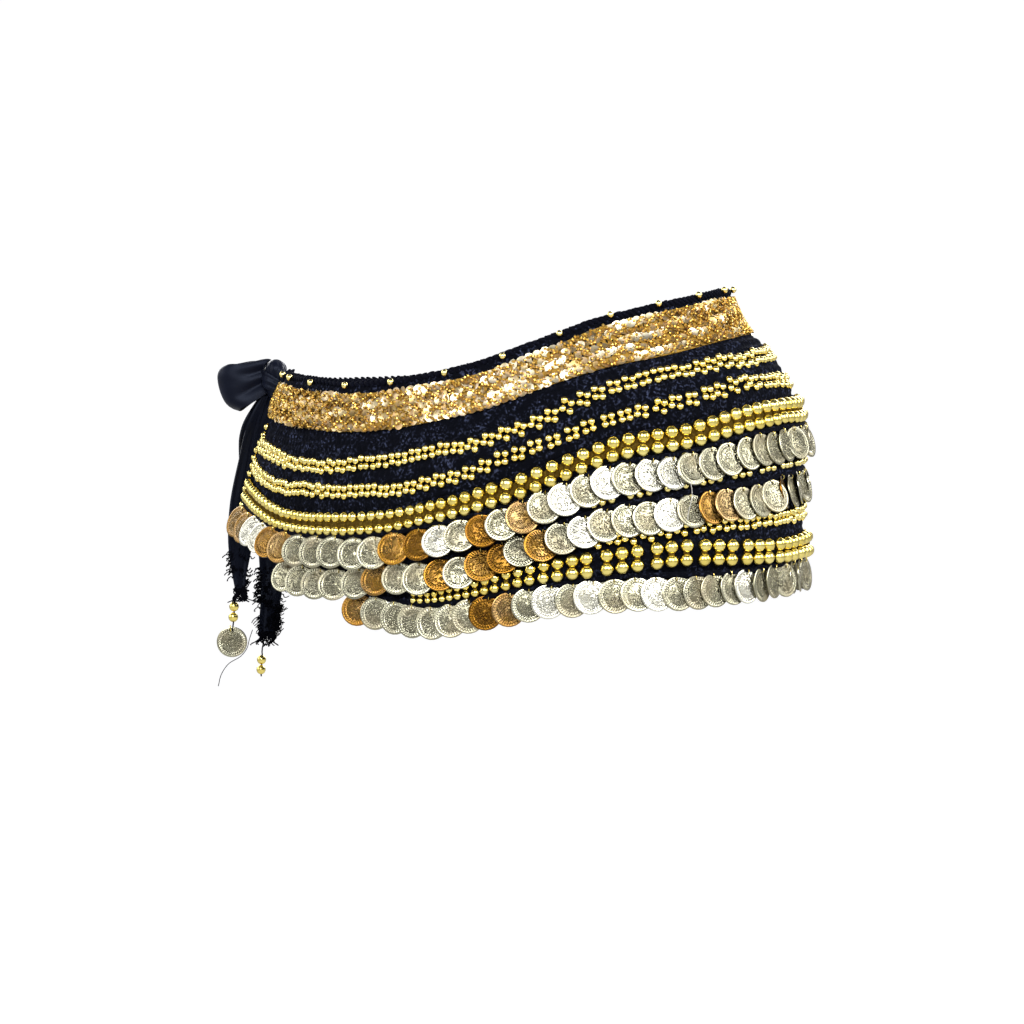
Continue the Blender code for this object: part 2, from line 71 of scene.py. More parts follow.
# Height of the scarf's top edge all round: low on the belly, high on the left hip.
EDGE_COLUMNS = ("azimuth", "height")
EDGE = (
    (-75, 44), (-60, 45), (-45, 44), (-30, 42), (-15, 40), (0, 43), (15, 51), (30, 64),
    (45, 75), (60, 82), (75, 87), (90, 91), (105, 93), (120, 93), (135, 89), (150, 82),
    (165, 73), (180, 64), (195, 56), (210, 50), (225, 46), (240, 43), (255, 42),
    (270, 42), (285, 44), (300, 45))

# Half of the pattern, from its deep middle to the tied end: how far each row lies below
# the top edge. The other half is the same.
DEEP_MIDDLE = 115.0
PATTERN_COLUMNS = ("from_middle", "sequin_top", "sequin_foot", "beads_1", "beads_2",
                   "beads_a", "single", "coins_2", "beads_3", "beads_b", "coins_3")
PATTERN = (
    (0, 4.8, 26.5, 37, 52, 68.5, 97, 102, 127, 146, 152.5),
    (10, 4.8, 26.5, 38, 53, 69.5, 98, 103, 127, 146, 152.5),
    (25, 4.8, 27, 38, 52, 68.5, 98, 104, 127, 145.5, 153),
    (40, 4.8, 27, 36.5, 50.5, 69, 98, 104, 126, 141.5, 151.5),
    (55, 5.0, 28, 38.5, 52.5, 72.5, 99, 103, 123, 136.5, 147.5),
    (70, 5.2, 27.5, 39, 54, 72, 99.5, 103.5, 121, 134, 141.5),
    (80, 6.8, 27.5, 42, 58.5, 75.5, 99, 104.5, 119, 131, 138.5),
    (88, 7.4, 28, 44, 60, 78.5, 98.5, 106, 117, 129, 135.5),
    (100, 7.2, 28.5, 45.5, 61.5, 79.5, 97, 106, 114.5, 127.5, 132.5),
    (107, 7.0, 28.5, 46, 62, 80, 96, 105, 113, 127, 130.5),
    (115, 6.8, 29, 47, 62.5, 81, 96, 103, 110, 121, 123.5),
    (130, 6.8, 29, 47.5, 63, 81, 96, 105.5, 106, 110, 112),
    (145, 7.5, 29, 48.5, 63.5, 81.5, 96, 103, 102, 106, 105.5),
    (160, 6.5, 28, 46, 60, 76, 87, 92, 92, 100, 94),
    (180, 6.0, 26, 41, 54, 69, 80, 84, 84, 92, 84))
HEM_BELOW_COINS = 3.4

# Where the scarf's two ends are, and the cloth between its faces.
TIED_END = -63.0
FAR_END = 291.0
CLOTH_DEPTH = 2.2
EDGE_CORD_RADIUS = 2.6
BAND_HALF_HEIGHT = 8.3
BAND_B_REACH = 106.0
BAND_B_FULL_REACH = 76.0
BAND_B_END_SIZE = 0.5
TAPE_FROM_MIDDLE = 84.0
COINS_LOOSEN_FROM = 88.0
SEAM_OVERLAP = 0.4

# The form of a large bead: its faces round and along, and its hole's share of its size.
BEAD_FORM = (14, 9, 0.16)

# How the cloth is read: steps along it, millimetres for a degree, and the shade inside.
CLOTH_STEPS = 2881
MM_PER_DEGREE = 2.7
INNER_TONE = 0.4

# Soft creases in the worn cloth, listed from the tied end to the deep middle.
# The hidden half has ones like them. Each has its azimuth, height and slant, then its half
# length, half width and rise.
CREASES = (
    (-59, 26, -14, 24, 5, 1.1), (-58, 12, 6, 28, 5, -0.9), (-57, -4, -8, 26, 6, 1.0),
    (-52, -22, 12, 22, 6, -0.8), (-46, 20, -5, 34, 7, 0.7), (-42, -14, 9, 30, 7, 0.8),
    (-33, 10, -6, 36, 8, -0.7), (-27, -26, 5, 30, 7, 0.9), (-16, 16, 2, 40, 7, 0.6),
    (-12, -40, -8, 28, 9, 0.8), (-5, -8, 10, 34, 8, -0.8), (6, 20, 15, 30, 7, 0.7),
    (12, -22, 14, 36, 9, 0.9), (22, 34, 18, 32, 6, -0.6), (27, 2, 16, 34, 8, 0.8),
    (34, -46, 6, 36, 9, -0.9), (40, 54, 14, 30, 6, 0.6), (46, 18, 10, 40, 8, -0.8),
    (54, -24, 6, 34, 9, 0.8), (61, 62, 8, 30, 6, -0.5), (66, 30, 5, 36, 8, 0.8),
    (74, -50, -4, 34, 9, 0.9), (80, 4, 3, 42, 9, -0.8), (88, 66, 2, 28, 6, 0.6),
    (95, 34, -4, 34, 8, 0.8), (101, -26, 5, 36, 9, -0.8), (109, 10, -6, 32, 8, 0.7),
    (113, -58, 3, 30, 9, 0.8))

# The tied end stands off the hip a little, in the same columns.
TIED_END_FLARE = (-66, -40, 0, 30, 32, 5.0)

# Parts of the tie.
KNOT_AZIMUTH = (TIED_END + FAR_END - 360.0) / 2
KNOT_HEIGHT = 39.0
KNOT_OUT = 6.0
KNOT_SIZE = (17.0, 16.4, 25.0)
KNOT_ROUNDNESS = 0.7
RIBBON_THICKNESS = 1.3
LOOP_LENGTH = 27.5
LOOP_HALF_WIDTH = 8.0
LOOP_ROOT_HEIGHT = 20.0
LOOP_TIP_HEIGHT = 29.0
LOOP_ROOT_RISE = 2.0
LOOP_SAG = 7.5
LOOP_SLANT = 13.0
LOOP_FOREMOST_LEVEL = 0.3
LOOP_ROOT_HALF_GAP = 1.6
TAIL_COLUMNS = ("station", "azimuth", "height", "out", "width", "turn")
TAIL_1 = (
    (0, -65.3, 30, 6, 9, 70), (1, -65.6, 12, 7.5, 15, 62), (2, -66, -10, 8, 17, 52),
    (3, -66, -35, 8, 17, 50), (4, -66, -60, 8, 14.5, 52), (5, -66, -84, 8, 7, 60))
TAIL_2 = (
    (0, -66.8, 31, 6, 9, 70), (1, -70, 10, 12, 16, 40), (2, -77, -12, 15, 20, 12),
    (3, -85.5, -36, 17, 19, 4), (4, -91.5, -62, 17, 15.5, 20), (5, -90.5, -88, 14, 13.5, 40),
    (6, -86, -112.5, 12, 10.5, 50))


class SmoothCurve:
    """One named column of a table, read as a smooth curve over the table's first column."""

    def __init__(self, rows: tuple, columns: tuple[str, ...], name: str,
                 period: float | None = None) -> None:
        """Take the keys, values and slopes of one column.

        Args:
            rows: the table's rows.
            columns: the names of its columns.
            name: the column to read.
            period: the length after which the curve repeats, if it does.
        """
        table = np.array(rows, dtype=float)
        count = np.arange(len(rows))
        before = np.maximum(count - 1, 0)
        after = np.minimum(count + 1, len(rows) - 1)
        self.keys = table[:, 0]
        self.values = table[:, columns.index(name)]
        self.slopes = ((self.values[after] - self.values[before])
                       / (self.keys[after] - self.keys[before]))
        self.period = period

    def __call__(self, at: Values) -> Array:
        """Read the curve.

        Args:
            at: where to read it, along the table's first column.

        Returns:
            The values there.
        """
        at = np.asarray(at, dtype=float)
        if self.period is not None:
            at = (at - self.keys[0]) % self.period + self.keys[0]
        index = np.clip(np.searchsorted(self.keys, at, side="right") - 1, 0, len(self.keys) - 2)
        span = self.keys[index + 1] - self.keys[index]
        t = (at - self.keys[index]) / span
        return ((2 * t ** 3 - 3 * t ** 2 + 1) * self.values[index]
                + (t ** 3 - 2 * t ** 2 + t) * span * self.slopes[index]
                + (3 * t ** 2 - 2 * t ** 3) * self.values[index + 1]
                + (t ** 3 - t ** 2) * span * self.slopes[index + 1])


def unit(vectors: Array) -> Array:
    """Vectors of length one in the same directions."""
    return vectors / np.linalg.norm(vectors, axis=-1, keepdims=True)


def once_round(count: int) -> Array:
    """Even angles once round a circle, in radians."""
    return np.linspace(0.0, 2 * math.pi, count, endpoint=False)


def paired(azimuth: Values, height: Values) -> tuple[Array, Array]:
    """Azimuths and heights as arrays of one shape."""
    return np.broadcast_arrays(np.asarray(azimuth, float), np.asarray(height, float))


class WornCloth:
    """The cloth as it is worn: the figure's form, the pattern's rows and the creases."""

    def __init__(self) -> None:
        """Read the tables."""
        self.half_width = SmoothCurve(FIGURE, FIGURE_COLUMNS, "half_width")
        self.half_depth = SmoothCurve(FIGURE, FIGURE_COLUMNS, "half_depth")
        self.lean = SmoothCurve(FIGURE, FIGURE_COLUMNS, "lean")
        self.edge = SmoothCurve(EDGE, EDGE_COLUMNS, "height", period=360.0)
        self.rows = {name: SmoothCurve(PATTERN, PATTERN_COLUMNS, name) for name in PATTERN_COLUMNS[1:]}
        near = np.array(CREASES, dtype=float)
        far = near * (1.0, 1.0, -0.9, 1.1, 1.05, 0.9) + (0.0, 3.0, 0.0, 0.0, 0.0, 0.0)
        far[:, 0] = 2 * DEEP_MIDDLE - near[:, 0] + 1.5 * np.sin(np.arange(len(near)) * 2.3)
        self.creases = np.vstack((near, far, TIED_END_FLARE))
        steps = np.linspace(TIED_END, FAR_END, CLOTH_STEPS)
        marks = self.surface(steps, 0.0)
        lengths = np.linalg.norm(np.diff(marks, axis=0), axis=1)
        self._steps = steps
        self._lengths = np.concatenate(([0.0], np.cumsum(lengths)))
        self.whole = float(self._lengths[-1])

    def surface(self, azimuth: Values, height: Values) -> Array:
        """Points of the figure.

        Args:
            azimuth: degrees round the figure.
            height: millimetres above the origin.

        Returns:
            The points, in millimetres.
        """
        azimuth, height = paired(azimuth, height)
        angle = np.radians(azimuth)
        lean = self.lean(height)
        lean_angle = math.radians(LEAN_AZIMUTH)
        return np.stack((
            self.half_width(height) * np.sin(angle) + lean * math.sin(lean_angle),
            -self.half_depth(height) * np.cos(angle) - lean * math.cos(lean_angle),
            height), axis=-1)

    def axes(self, azimuth: Values, height: Values) -> Array:
        """The directions round, up and out at points of the figure.

        Args:
            azimuth: degrees round the figure.
            height: millimetres above the origin.

        Returns:
            A matrix for each point, whose columns are the three directions.
        """
        azimuth, height = paired(azimuth, height)
        around = unit(self.surface(azimuth + 0.5, height) - self.surface(azimuth - 0.5, height))
        slope = self.surface(azimuth, height + 1.0) - self.surface(azimuth, height - 1.0)
        outward = unit(np.cross(around, slope))
        return np.stack((around, np.cross(outward, around), outward), axis=-1)

    def crease(self, azimuth: Array, height: Array) -> Array:
        """How far the creases lift the cloth, in millimetres.

        Args:
            azimuth: degrees round the figure.
            height: millimetres above the origin.

        Returns:
            The rise at each point.
        """
        azimuth, height = paired(azimuth, height)
        total = np.zeros(azimuth.shape)
        for middle, level, slant, half_length, half_width, rise in self.creases:
            along = (azimuth - middle) * MM_PER_DEGREE
            across = height - level
            turn = math.radians(slant)
            forward = (along * math.cos(turn) + across * math.sin(turn)) / half_length
            aside = (across * math.cos(turn) - along * math.sin(turn)) / half_width
            total += rise * np.exp(-forward ** 2 - aside ** 2)
        return total

    def point(self, azimuth: Values, height: Values, out: Values) -> Array:
        """Points a distance out from the cloth, creases included.

        Args:
            azimuth: degrees round the figure.
            height: millimetres above the origin.
            out: millimetres out from the cloth's outer face.

        Returns:
            The points, in metres.
        """
        lift = np.asarray(out, float) + self.crease(azimuth, height)
        outward = self.axes(azimuth, height)[..., 2]
        return (self.surface(azimuth, height) + lift[..., None] * outward) * MM

    def from_middle(self, azimuth: Values) -> Array:
        """Degrees from the pattern's deep middle."""
        return np.abs((np.asarray(azimuth, float) - DEEP_MIDDLE + 180.0) % 360.0 - 180.0)

    def row_height(self, azimuth: Values, row: str, below: float = 0.0) -> Array:
        """Heights of a named row of the pattern, or of a line so far below it."""
        return self.edge(azimuth) - self.rows[row](self.from_middle(azimuth)) - below

    def length_at(self, azimuth: Values) -> Array:
        """Millimetres of cloth from the tied end."""
        return np.interp(azimuth, self._steps, self._lengths)

    def azimuth_at(self, length: Values) -> Array:
        """Azimuths at lengths of cloth from the tied end, in millimetres."""
        return np.interp(length, self._lengths, self._steps)

    def evenly(self, start: float, end: float, count: int) -> Array:
        """Azimuths at even lengths of cloth between two lengths, in millimetres."""
        return self.azimuth_at(np.linspace(start, end, count))

    def spaced(self, first: float, last: float, pitch: float) -> Array:
        """Azimuths of pieces set at an even pitch.

        Args:
            first: the azimuth where the row starts.
            last: the azimuth where it ends.
            pitch: millimetres from one piece to the next.

        Returns:
            The middles of the pieces.
        """
        start, end = self.length_at(first), self.length_at(last)
        count = max(1, round(float(end - start) / pitch))
        return self.azimuth_at(start + (np.arange(count) + 0.5) * (end - start) / count)


CLOTH = WornCloth()


@dataclass
class Template:
    """A small form that is repeated: its points, its faces and a flat map of its points."""

    points: Array
    faces: list[Array]
    flat_map: Array | None = None


def put_in_scene(name: str, data: bpy.types.ID) -> bpy.types.Object:
    """Put a new object in the scene.

    Args:
        name: the object's name.
        data: its mesh, light or camera.

    Returns:
        The object.
    """
    thing = bpy.data.objects.new(name, data)
    bpy.context.scene.collection.objects.link(thing)
    return thing


class Gathered:
    """Points and faces gathered into one mesh, with a tone at each point."""

    def __init__(self, name: str) -> None:
        """Start an empty mesh.

        Args:
            name: the piece's name.
        """
        self.name = name
        self.points: list[Array] = []
        self.tones: list[Array] = []
        self.maps: list[Array] = []
        self.faces: list[tuple[Array, int]] = []
        self.count = 0

    def add(self, points: Array, faces: list[Array], tone: Values = 0.5,
            finish: int = 0, flat_map: Array | None = None) -> None:
        """Add points and the faces between them.

        Args:
            points: the points, in metres.
            faces: arrays of corner numbers, one array for each number of corners.
            tone: a shade from 0 to 1 for each point, or one for them all.
            finish: which of the piece's finishes the faces take.
            flat_map: each point's place on a flat map, if it has one.
        """
        points = points.reshape(-1, 3)
        self.points.append(points)
        self.tones.append(np.broadcast_to(np.asarray(tone, float), (len(points),)))
        self.maps.append(np.full((len(points), 2), 0.5) if flat_map is None else flat_map)
        self.faces.extend((np.asarray(some) + self.count, finish) for some in faces)
        self.count += len(points)

    def stamp(self, template: Template, places: Array, turns: Array,
              tones: Values = 0.5, finish: int = 0) -> None:
        """Repeat a form.

        Args:
            template: the form, in metres.
            places: where each copy's origin goes.
            turns: a matrix for each copy, whose columns are its three directions.
            tones: a shade for each copy.
            finish: which of the piece's finishes the copies take.
        """
        copies = len(places)
        each = len(template.points)
        points = np.einsum("nij,vj->nvi", turns, template.points) + places[:, None, :]
        starts = np.arange(copies)[:, None, None] * each
        faces = [(some[None] + starts).reshape(-1, some.shape[1]) for some in template.faces]
        tones = np.repeat(np.broadcast_to(np.asarray(tones, float), (copies,)), each)
        flat_map = None if template.flat_map is None else np.tile(template.flat_map, (copies, 1))
        self.add(points, faces, tones, finish, flat_map)

    def build(self, finishes: list[Finish], node: str, slot: str,
              sharp_angle: float = 60.0) -> bpy.types.Object:
        """Make the piece.

        Args:
            finishes: the piece's finishes, in the order that its faces name them.
            node: the solid that the piece stands for, or an empty name.
            slot: a material slot's name, which is not used.
            sharp_angle: edges that turn by more than this stay crisp, in degrees.

        Returns:
            The piece, which rides on the root body.
        """
        mesh = bpy.data.meshes.new(self.name)
        points = np.vstack(self.points)
        corners = np.concatenate([some.ravel() for some, _ in self.faces])
        totals = np.concatenate([np.full(len(some), some.shape[1]) for some, _ in self.faces])
        used = np.concatenate([np.full(len(some), finish) for some, finish in self.faces])
        mesh.vertices.add(len(points))
        mesh.vertices.foreach_set("co", points.ravel())
        mesh.loops.add(len(corners))
        mesh.loops.foreach_set("vertex_index", corners.astype(np.int32))
        mesh.polygons.add(len(totals))
        starts = np.concatenate(([0], np.cumsum(totals)[:-1]))
        mesh.polygons.foreach_set("loop_start", starts.astype(np.int32))
        mesh.polygons.foreach_set("material_index", used.astype(np.int32))
        mesh.update(calc_edges=True)
        mesh.validate()
        tone = mesh.attributes.new("tone", "FLOAT", "POINT")
        tone.data.foreach_set("value", np.concatenate(self.tones))
        flat = mesh.uv_layers.new(name="flat_map")
        flat.data.foreach_set("uv", np.vstack(self.maps)[corners].ravel())
        mesh.shade_smooth()
        mesh.set_sharp_from_angle(angle=math.radians(sharp_angle))
        piece = put_in_scene(self.name, mesh)
        for finish in finishes:
            mesh.materials.append(finish.material())
        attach(piece, "root")
        if node:
            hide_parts(node)
        LOG.info("%s: %d faces", self.name, len(totals))
        return piece


def grid_faces(rows: int, columns: int, turned: bool = False) -> Array:
    """Four-cornered faces over a grid of points.

    Args:
        rows: how many rows of points there are.
        columns: how many points a row has.
        turned: whether the faces look the other way.

    Returns:
        The faces' corner numbers.
    """
    corner = (np.arange(rows - 1)[:, None] * columns + np.arange(columns - 1)).ravel()
    faces = np.stack((corner, corner + columns, corner + columns + 1, corner + 1), axis=1)
    return faces[:, ::-1] if turned else faces


def ring_faces(number: Array, onward_first: bool = False) -> Array:
    """Four-cornered faces between closed rings of points.

    Args:
        number: the points' numbers, with a row for each ring.
        onward_first: whether a face runs to the next ring before it runs round.

    Returns:
        The faces' corner numbers, for each ring and each point of it.
    """
    following = np.roll(number, -1, axis=1)
    corners = (number[:-1], following[:-1], following[1:], number[1:])
    order = (0, 3, 2, 1) if onward_first else (0, 1, 2, 3)
    return np.stack([corners[place] for place in order], axis=-1)


def shell(gathered: Gathered, outer: Array, inner: Array, step: tuple[int, int],
          tone: Values = 0.5, finish: int = 0) -> None:
    """Add a closed thin shell between a fine outer grid and a coarser inner one.

    Args:
        gathered: the mesh to add to.
        outer: the outer face's points, as rows of points from the top down.
        inner: the inner face's points, as many as the outer grid has at each step.
        step: how many outer rows and columns lie between two inner ones.
        tone: the outer points' shade.
        finish: which of the piece's finishes the shell takes.
    """
    rows, columns = outer.shape[:2]
    inner_rows, inner_columns = inner.shape[:2]
    outer_number = np.arange(rows * columns).reshape(rows, columns)
    inner_number = np.arange(inner.size // 3).reshape(inner_rows, inner_columns)
    inner_number = inner_number + rows * columns

    def rim(fine: Array, coarse: Array, stride: int, turned: bool) -> Array:
        """Join an edge of the outer grid to the inner one's.

        Args:
            fine: the outer edge's numbers.
            coarse: the inner edge's numbers.
            stride: how many outer points there are for an inner one.
            turned: whether the faces look the other way.

        Returns:
            The faces' corner numbers.
        """
        faces = []
        for part in range(len(coarse) - 1):
            along = fine[part * stride:(part + 1) * stride + 1]
            face = np.concatenate((along, coarse[part:part + 2][::-1]))
            faces.append(face[::-1] if turned else face)
        return np.array(faces)

    down, along = step
    faces = [
        grid_faces(rows, columns), grid_faces(inner_rows, inner_columns, turned=True) + rows * columns,
        rim(outer_number[0], inner_number[0], along, False),
        rim(outer_number[-1], inner_number[-1], along, True),
        rim(outer_number[:, 0], inner_number[:, 0], down, True),
        rim(outer_number[:, -1], inner_number[:, -1], down, False)]
    tones = np.concatenate((np.broadcast_to(np.asarray(tone, float), (rows, columns)).ravel(),
                            np.full(inner.size // 3, INNER_TONE)))
    gathered.add(np.concatenate((outer.reshape(-1, 3), inner.reshape(-1, 3))), faces, tones, finish)


def ribbon(gathered: Gathered, middle: Array, thickness: float) -> None:
    """Add a closed ribbon round a grid of its middle points.

    Args:
        gathered: the mesh to add to.
        middle: the ribbon's middle points, as rows of points.
        thickness: how thick the ribbon is, in millimetres.
    """
    facing = unit(np.cross(*np.gradient(middle, axis=(0, 1))))
    half = facing * thickness * MM / 2
    shell(gathered, middle + half, middle - half, (1, 1))


def tube(gathered: Gathered, path: Array, radius: Values, sides: int = 6,
         tone: float = 0.5, finish: int = 0) -> None:
    """Add a closed tube along a path.

    Args:
        gathered: the mesh to add to.
        path: the points of the tube's centreline, in metres.
        radius: the tube's radius in millimetres, at each point or all along.
        sides: how many sides the tube has.
        tone: the tube's shade.
        finish: which of the piece's finishes it takes.
    """
    ahead = unit(np.gradient(path, axis=0))
    start = (0.0, 0.0, 1.0) if abs(ahead[0, 2]) < 0.8 else (1.0, 0.0, 0.0)
    side = np.zeros_like(ahead)
    last = np.array(start)
    for number, direction in enumerate(ahead):
        last = unit(last - direction * np.dot(last, direction))
        side[number] = last
    other = np.cross(ahead, side)
    turn = once_round(sides)
    size = np.broadcast_to(np.asarray(radius, float), (len(path),))[:, None, None] * MM
    ring = (np.cos(turn)[None, :, None] * side[:, None, :]
            + np.sin(turn)[None, :, None] * other[:, None, :])
    points = path[:, None, :] + size * ring
    number = np.arange(len(path) * sides).reshape(len(path), sides)
    faces = ring_faces(number).reshape(-1, 4)
    gathered.add(points, [faces, number[:1, ::-1], number[-1:]], tone, finish)


def ball(diameter: float, segments: int, rings: int, hole: float = 0.0) -> Template:
    """A round bead whose thread runs along its first direction.

    Args:
        diameter: the bead's diameter in millimetres.
        segments: how many faces there are round the thread.
        rings: how many there are from one hole to the other.
        hole: the hole's share of the diameter.

    Returns:
        The bead.
    """
    start = math.asin(hole) if hole else 0.04
    level = np.linspace(start, math.pi - start, rings + 1)
    turn = once_round(segments)
    radius = diameter / 2 * MM
    points = np.stack((
        np.repeat(np.cos(level)[:, None], segments, axis=1), np.sin(level)[:, None] * np.cos(turn),
        np.sin(level)[:, None] * np.sin(turn)), axis=-1) * radius
    number = np.arange((rings + 1) * segments).reshape(rings + 1, segments)
    faces = ring_faces(number, onward_first=True).reshape(-1, 4)
    return Template(points.reshape(-1, 3), [faces, number[:1], number[-1:, ::-1]])


def small_ball(diameter: float, subdivisions: int = 2) -> Template:
    """A round bead of few faces, for the small sizes.

    Args:
        diameter: the bead's diameter in millimetres.
        subdivisions: how finely it is divided.

    Returns:
        The bead.
    """
    mesh = bmesh.new()
    bmesh.ops.create_icosphere(mesh, subdivisions=subdivisions, radius=diameter / 2 * MM)
    points = np.array([vertex.co[:] for vertex in mesh.verts])
    faces = np.array([[vertex.index for vertex in face.verts] for face in mesh.faces])
    mesh.free()
    return Template(points, [faces])


def ring(diameter: float, wire: float, segments: int = 10, sides: int = 4) -> Template:
    """A ring that lies across its first direction.

    Args:
        diameter: the ring's middle diameter in millimetres.
        wire: how thick it is, in millimetres.
        segments: how many faces there are round it.
        sides: how many there are round its wire.

    Returns:
        The ring.
    """
    turn = once_round(segments)[:, None]
    section = once_round(sides)[None, :]
    reach = (diameter + wire * np.cos(section)) / 2 * MM
    points = np.stack((np.broadcast_to(wire * np.sin(section) / 2 * MM, reach.shape)
                       + 0.0 * turn, reach * np.cos(turn), reach * np.sin(turn)), axis=-1)
    number = np.arange(segments * sides).reshape(segments, sides)
    around, onward = np.roll(number, -1, axis=0), np.roll(number, -1, axis=1)
    faces = np.stack((number, around, np.roll(around, -1, axis=1), onward), axis=-1).reshape(-1, 4)
    return Template(points.reshape(-1, 3), [faces])


@dataclass
class CoinForm:
    """A thin stamped coin: a raised rim, a rosette in its middle and a hole at its top.

    Each ring has its share of the radius and its rise.
    """

    diameter: float
    thickness: float
    segments: int = 24
    RINGS = ((0.12, 0.34), (0.26, 0.10), (0.42, 0.30), (0.58, 0.08), (0.70, 0.05),
             (0.78, 0.05), (0.86, 0.05), (0.91, 0.22), (0.965, 0.28), (1.0, 0.10))
    HOLE_RING = 5
    HOLE_RADIUS = 0.8
    PETAL_RINGS = (1, 2)
    DOME = 0.5

    @property
    def radius(self) -> float:
        """The coin's radius."""
        return self.diameter / 2

    def template(self) -> Template:
        """Make the coin, which faces along its third direction with its hole up.

        Returns:
            The coin.
        """
        turn = once_round(self.segments) + math.pi / 2
        rings = np.array(self.RINGS)
        share = np.repeat(rings[:, :1], self.segments, axis=1)
        rise = np.repeat(rings[:, 1:], self.segments, axis=1)
        for petals in self.PETAL_RINGS:
            rise[petals] += 0.14 * np.cos(np.arange(self.segments) * math.pi)
        x = self.radius * share * np.cos(turn)
        y = self.radius * share * np.sin(turn)
        self._pull_to_hole(x, y)
        rise = rise - self.DOME * share ** 2
        front = np.stack((x, y, self.thickness / 2 + rise), axis=-1)
        edge, hollow = -self.thickness / 2 - self.DOME, -self.thickness / 3 - self.DOME
        back = np.stack((x[-1], y[-1], np.full(self.segments, edge)), axis=-1)
        back_field = np.stack((x[-2], y[-2], np.full(self.segments, hollow)), axis=-1)
        middle = np.array(((0.0, 0.0, self.thickness / 2 + 0.42), (0.0, 0.0, -self.thickness / 3)))
        points = np.concatenate((front.reshape(-1, 3), back, back_field, middle))
        flat = points[:, :2] / (2 * self.radius) + 0.5
        return Template(points * MM, self._faces(len(rings)), flat)

    def _pull_to_hole(self, x: Array, y: Array) -> None:
        """Draw the points round the hole onto its edge.

        Args:
            x: how far aside each ring's points are, which is changed.
            y: how far up they are, which is changed.
        """
        centre = self.radius * self.RINGS[self.HOLE_RING][0]
        for level in (-1, 0, 1):
            for step in (-1, 0, 1):
                if level or step:
                    row, column = self.HOLE_RING + level, step % self.segments
                    angle = math.atan2(level, -step)
                    x[row, column] = self.HOLE_RADIUS * math.cos(angle)
                    y[row, column] = centre + self.HOLE_RADIUS * math.sin(angle)

    def _faces(self, rings: int) -> list[Array]:
        """The coin's faces, without the ones at the hole.

        Args:
            rings: how many rings the front has.

        Returns:
            The faces' corner numbers.
        """
        number = np.arange(rings * self.segments).reshape(rings, self.segments)
        quads = ring_faces(number, onward_first=True)
        keep = np.ones(quads.shape[:2], bool)
        keep[self.HOLE_RING - 1:self.HOLE_RING + 1, [-1, 0]] = False
        edge = rings * self.segments + np.arange(self.segments)
        field_ring = edge + self.segments
        sides, back = ring_faces(np.stack((number[-1], edge, field_ring)), onward_first=True)
        middle = np.full(self.segments, (rings + 2) * self.segments)
        front_fan = np.stack((middle, number[0], np.roll(number[0], -1)), axis=-1)
        back_fan = np.stack((middle + 1, np.roll(field_ring, -1), field_ring), axis=-1)
        return [quads[keep], sides, back, front_fan, back_fan]


def turned(axes: Array, yaw: Values = 0.0, tilt: Values = 0.0, swing: Values = 0.0) -> Array:
    """Turn a piece's own directions.

    Args:
        axes: a matrix for each piece, whose columns are its directions round, up and out.
        yaw: degrees about its up direction.
        tilt: degrees about its direction round the figure.
        swing: degrees about its outward direction.

    Returns:
        The turned matrices.
    """
    yaw, tilt, swing = (np.radians(np.broadcast_to(np.asarray(a, float), (len(axes),)))
                        for a in (yaw, tilt, swing))
    zero, one = np.zeros(len(axes)), np.ones(len(axes))

    def matrix(*rows: tuple[Array, Array, Array]) -> Array:
        """A matrix for each piece, from its three rows."""
        return np.stack([np.stack(row, axis=-1) for row in rows], axis=-2)

    about_up = matrix((np.cos(yaw), zero, np.sin(yaw)), (zero, one, zero),
                      (-np.sin(yaw), zero, np.cos(yaw)))
    about_round = matrix((one, zero, zero), (zero, np.cos(tilt), -np.sin(tilt)),
                         (zero, np.sin(tilt), np.cos(tilt)))
    about_out = matrix((np.cos(swing), -np.sin(swing), zero),
                       (np.sin(swing), np.cos(swing), zero), (zero, zero, one))
    return axes @ about_up @ about_round @ about_out


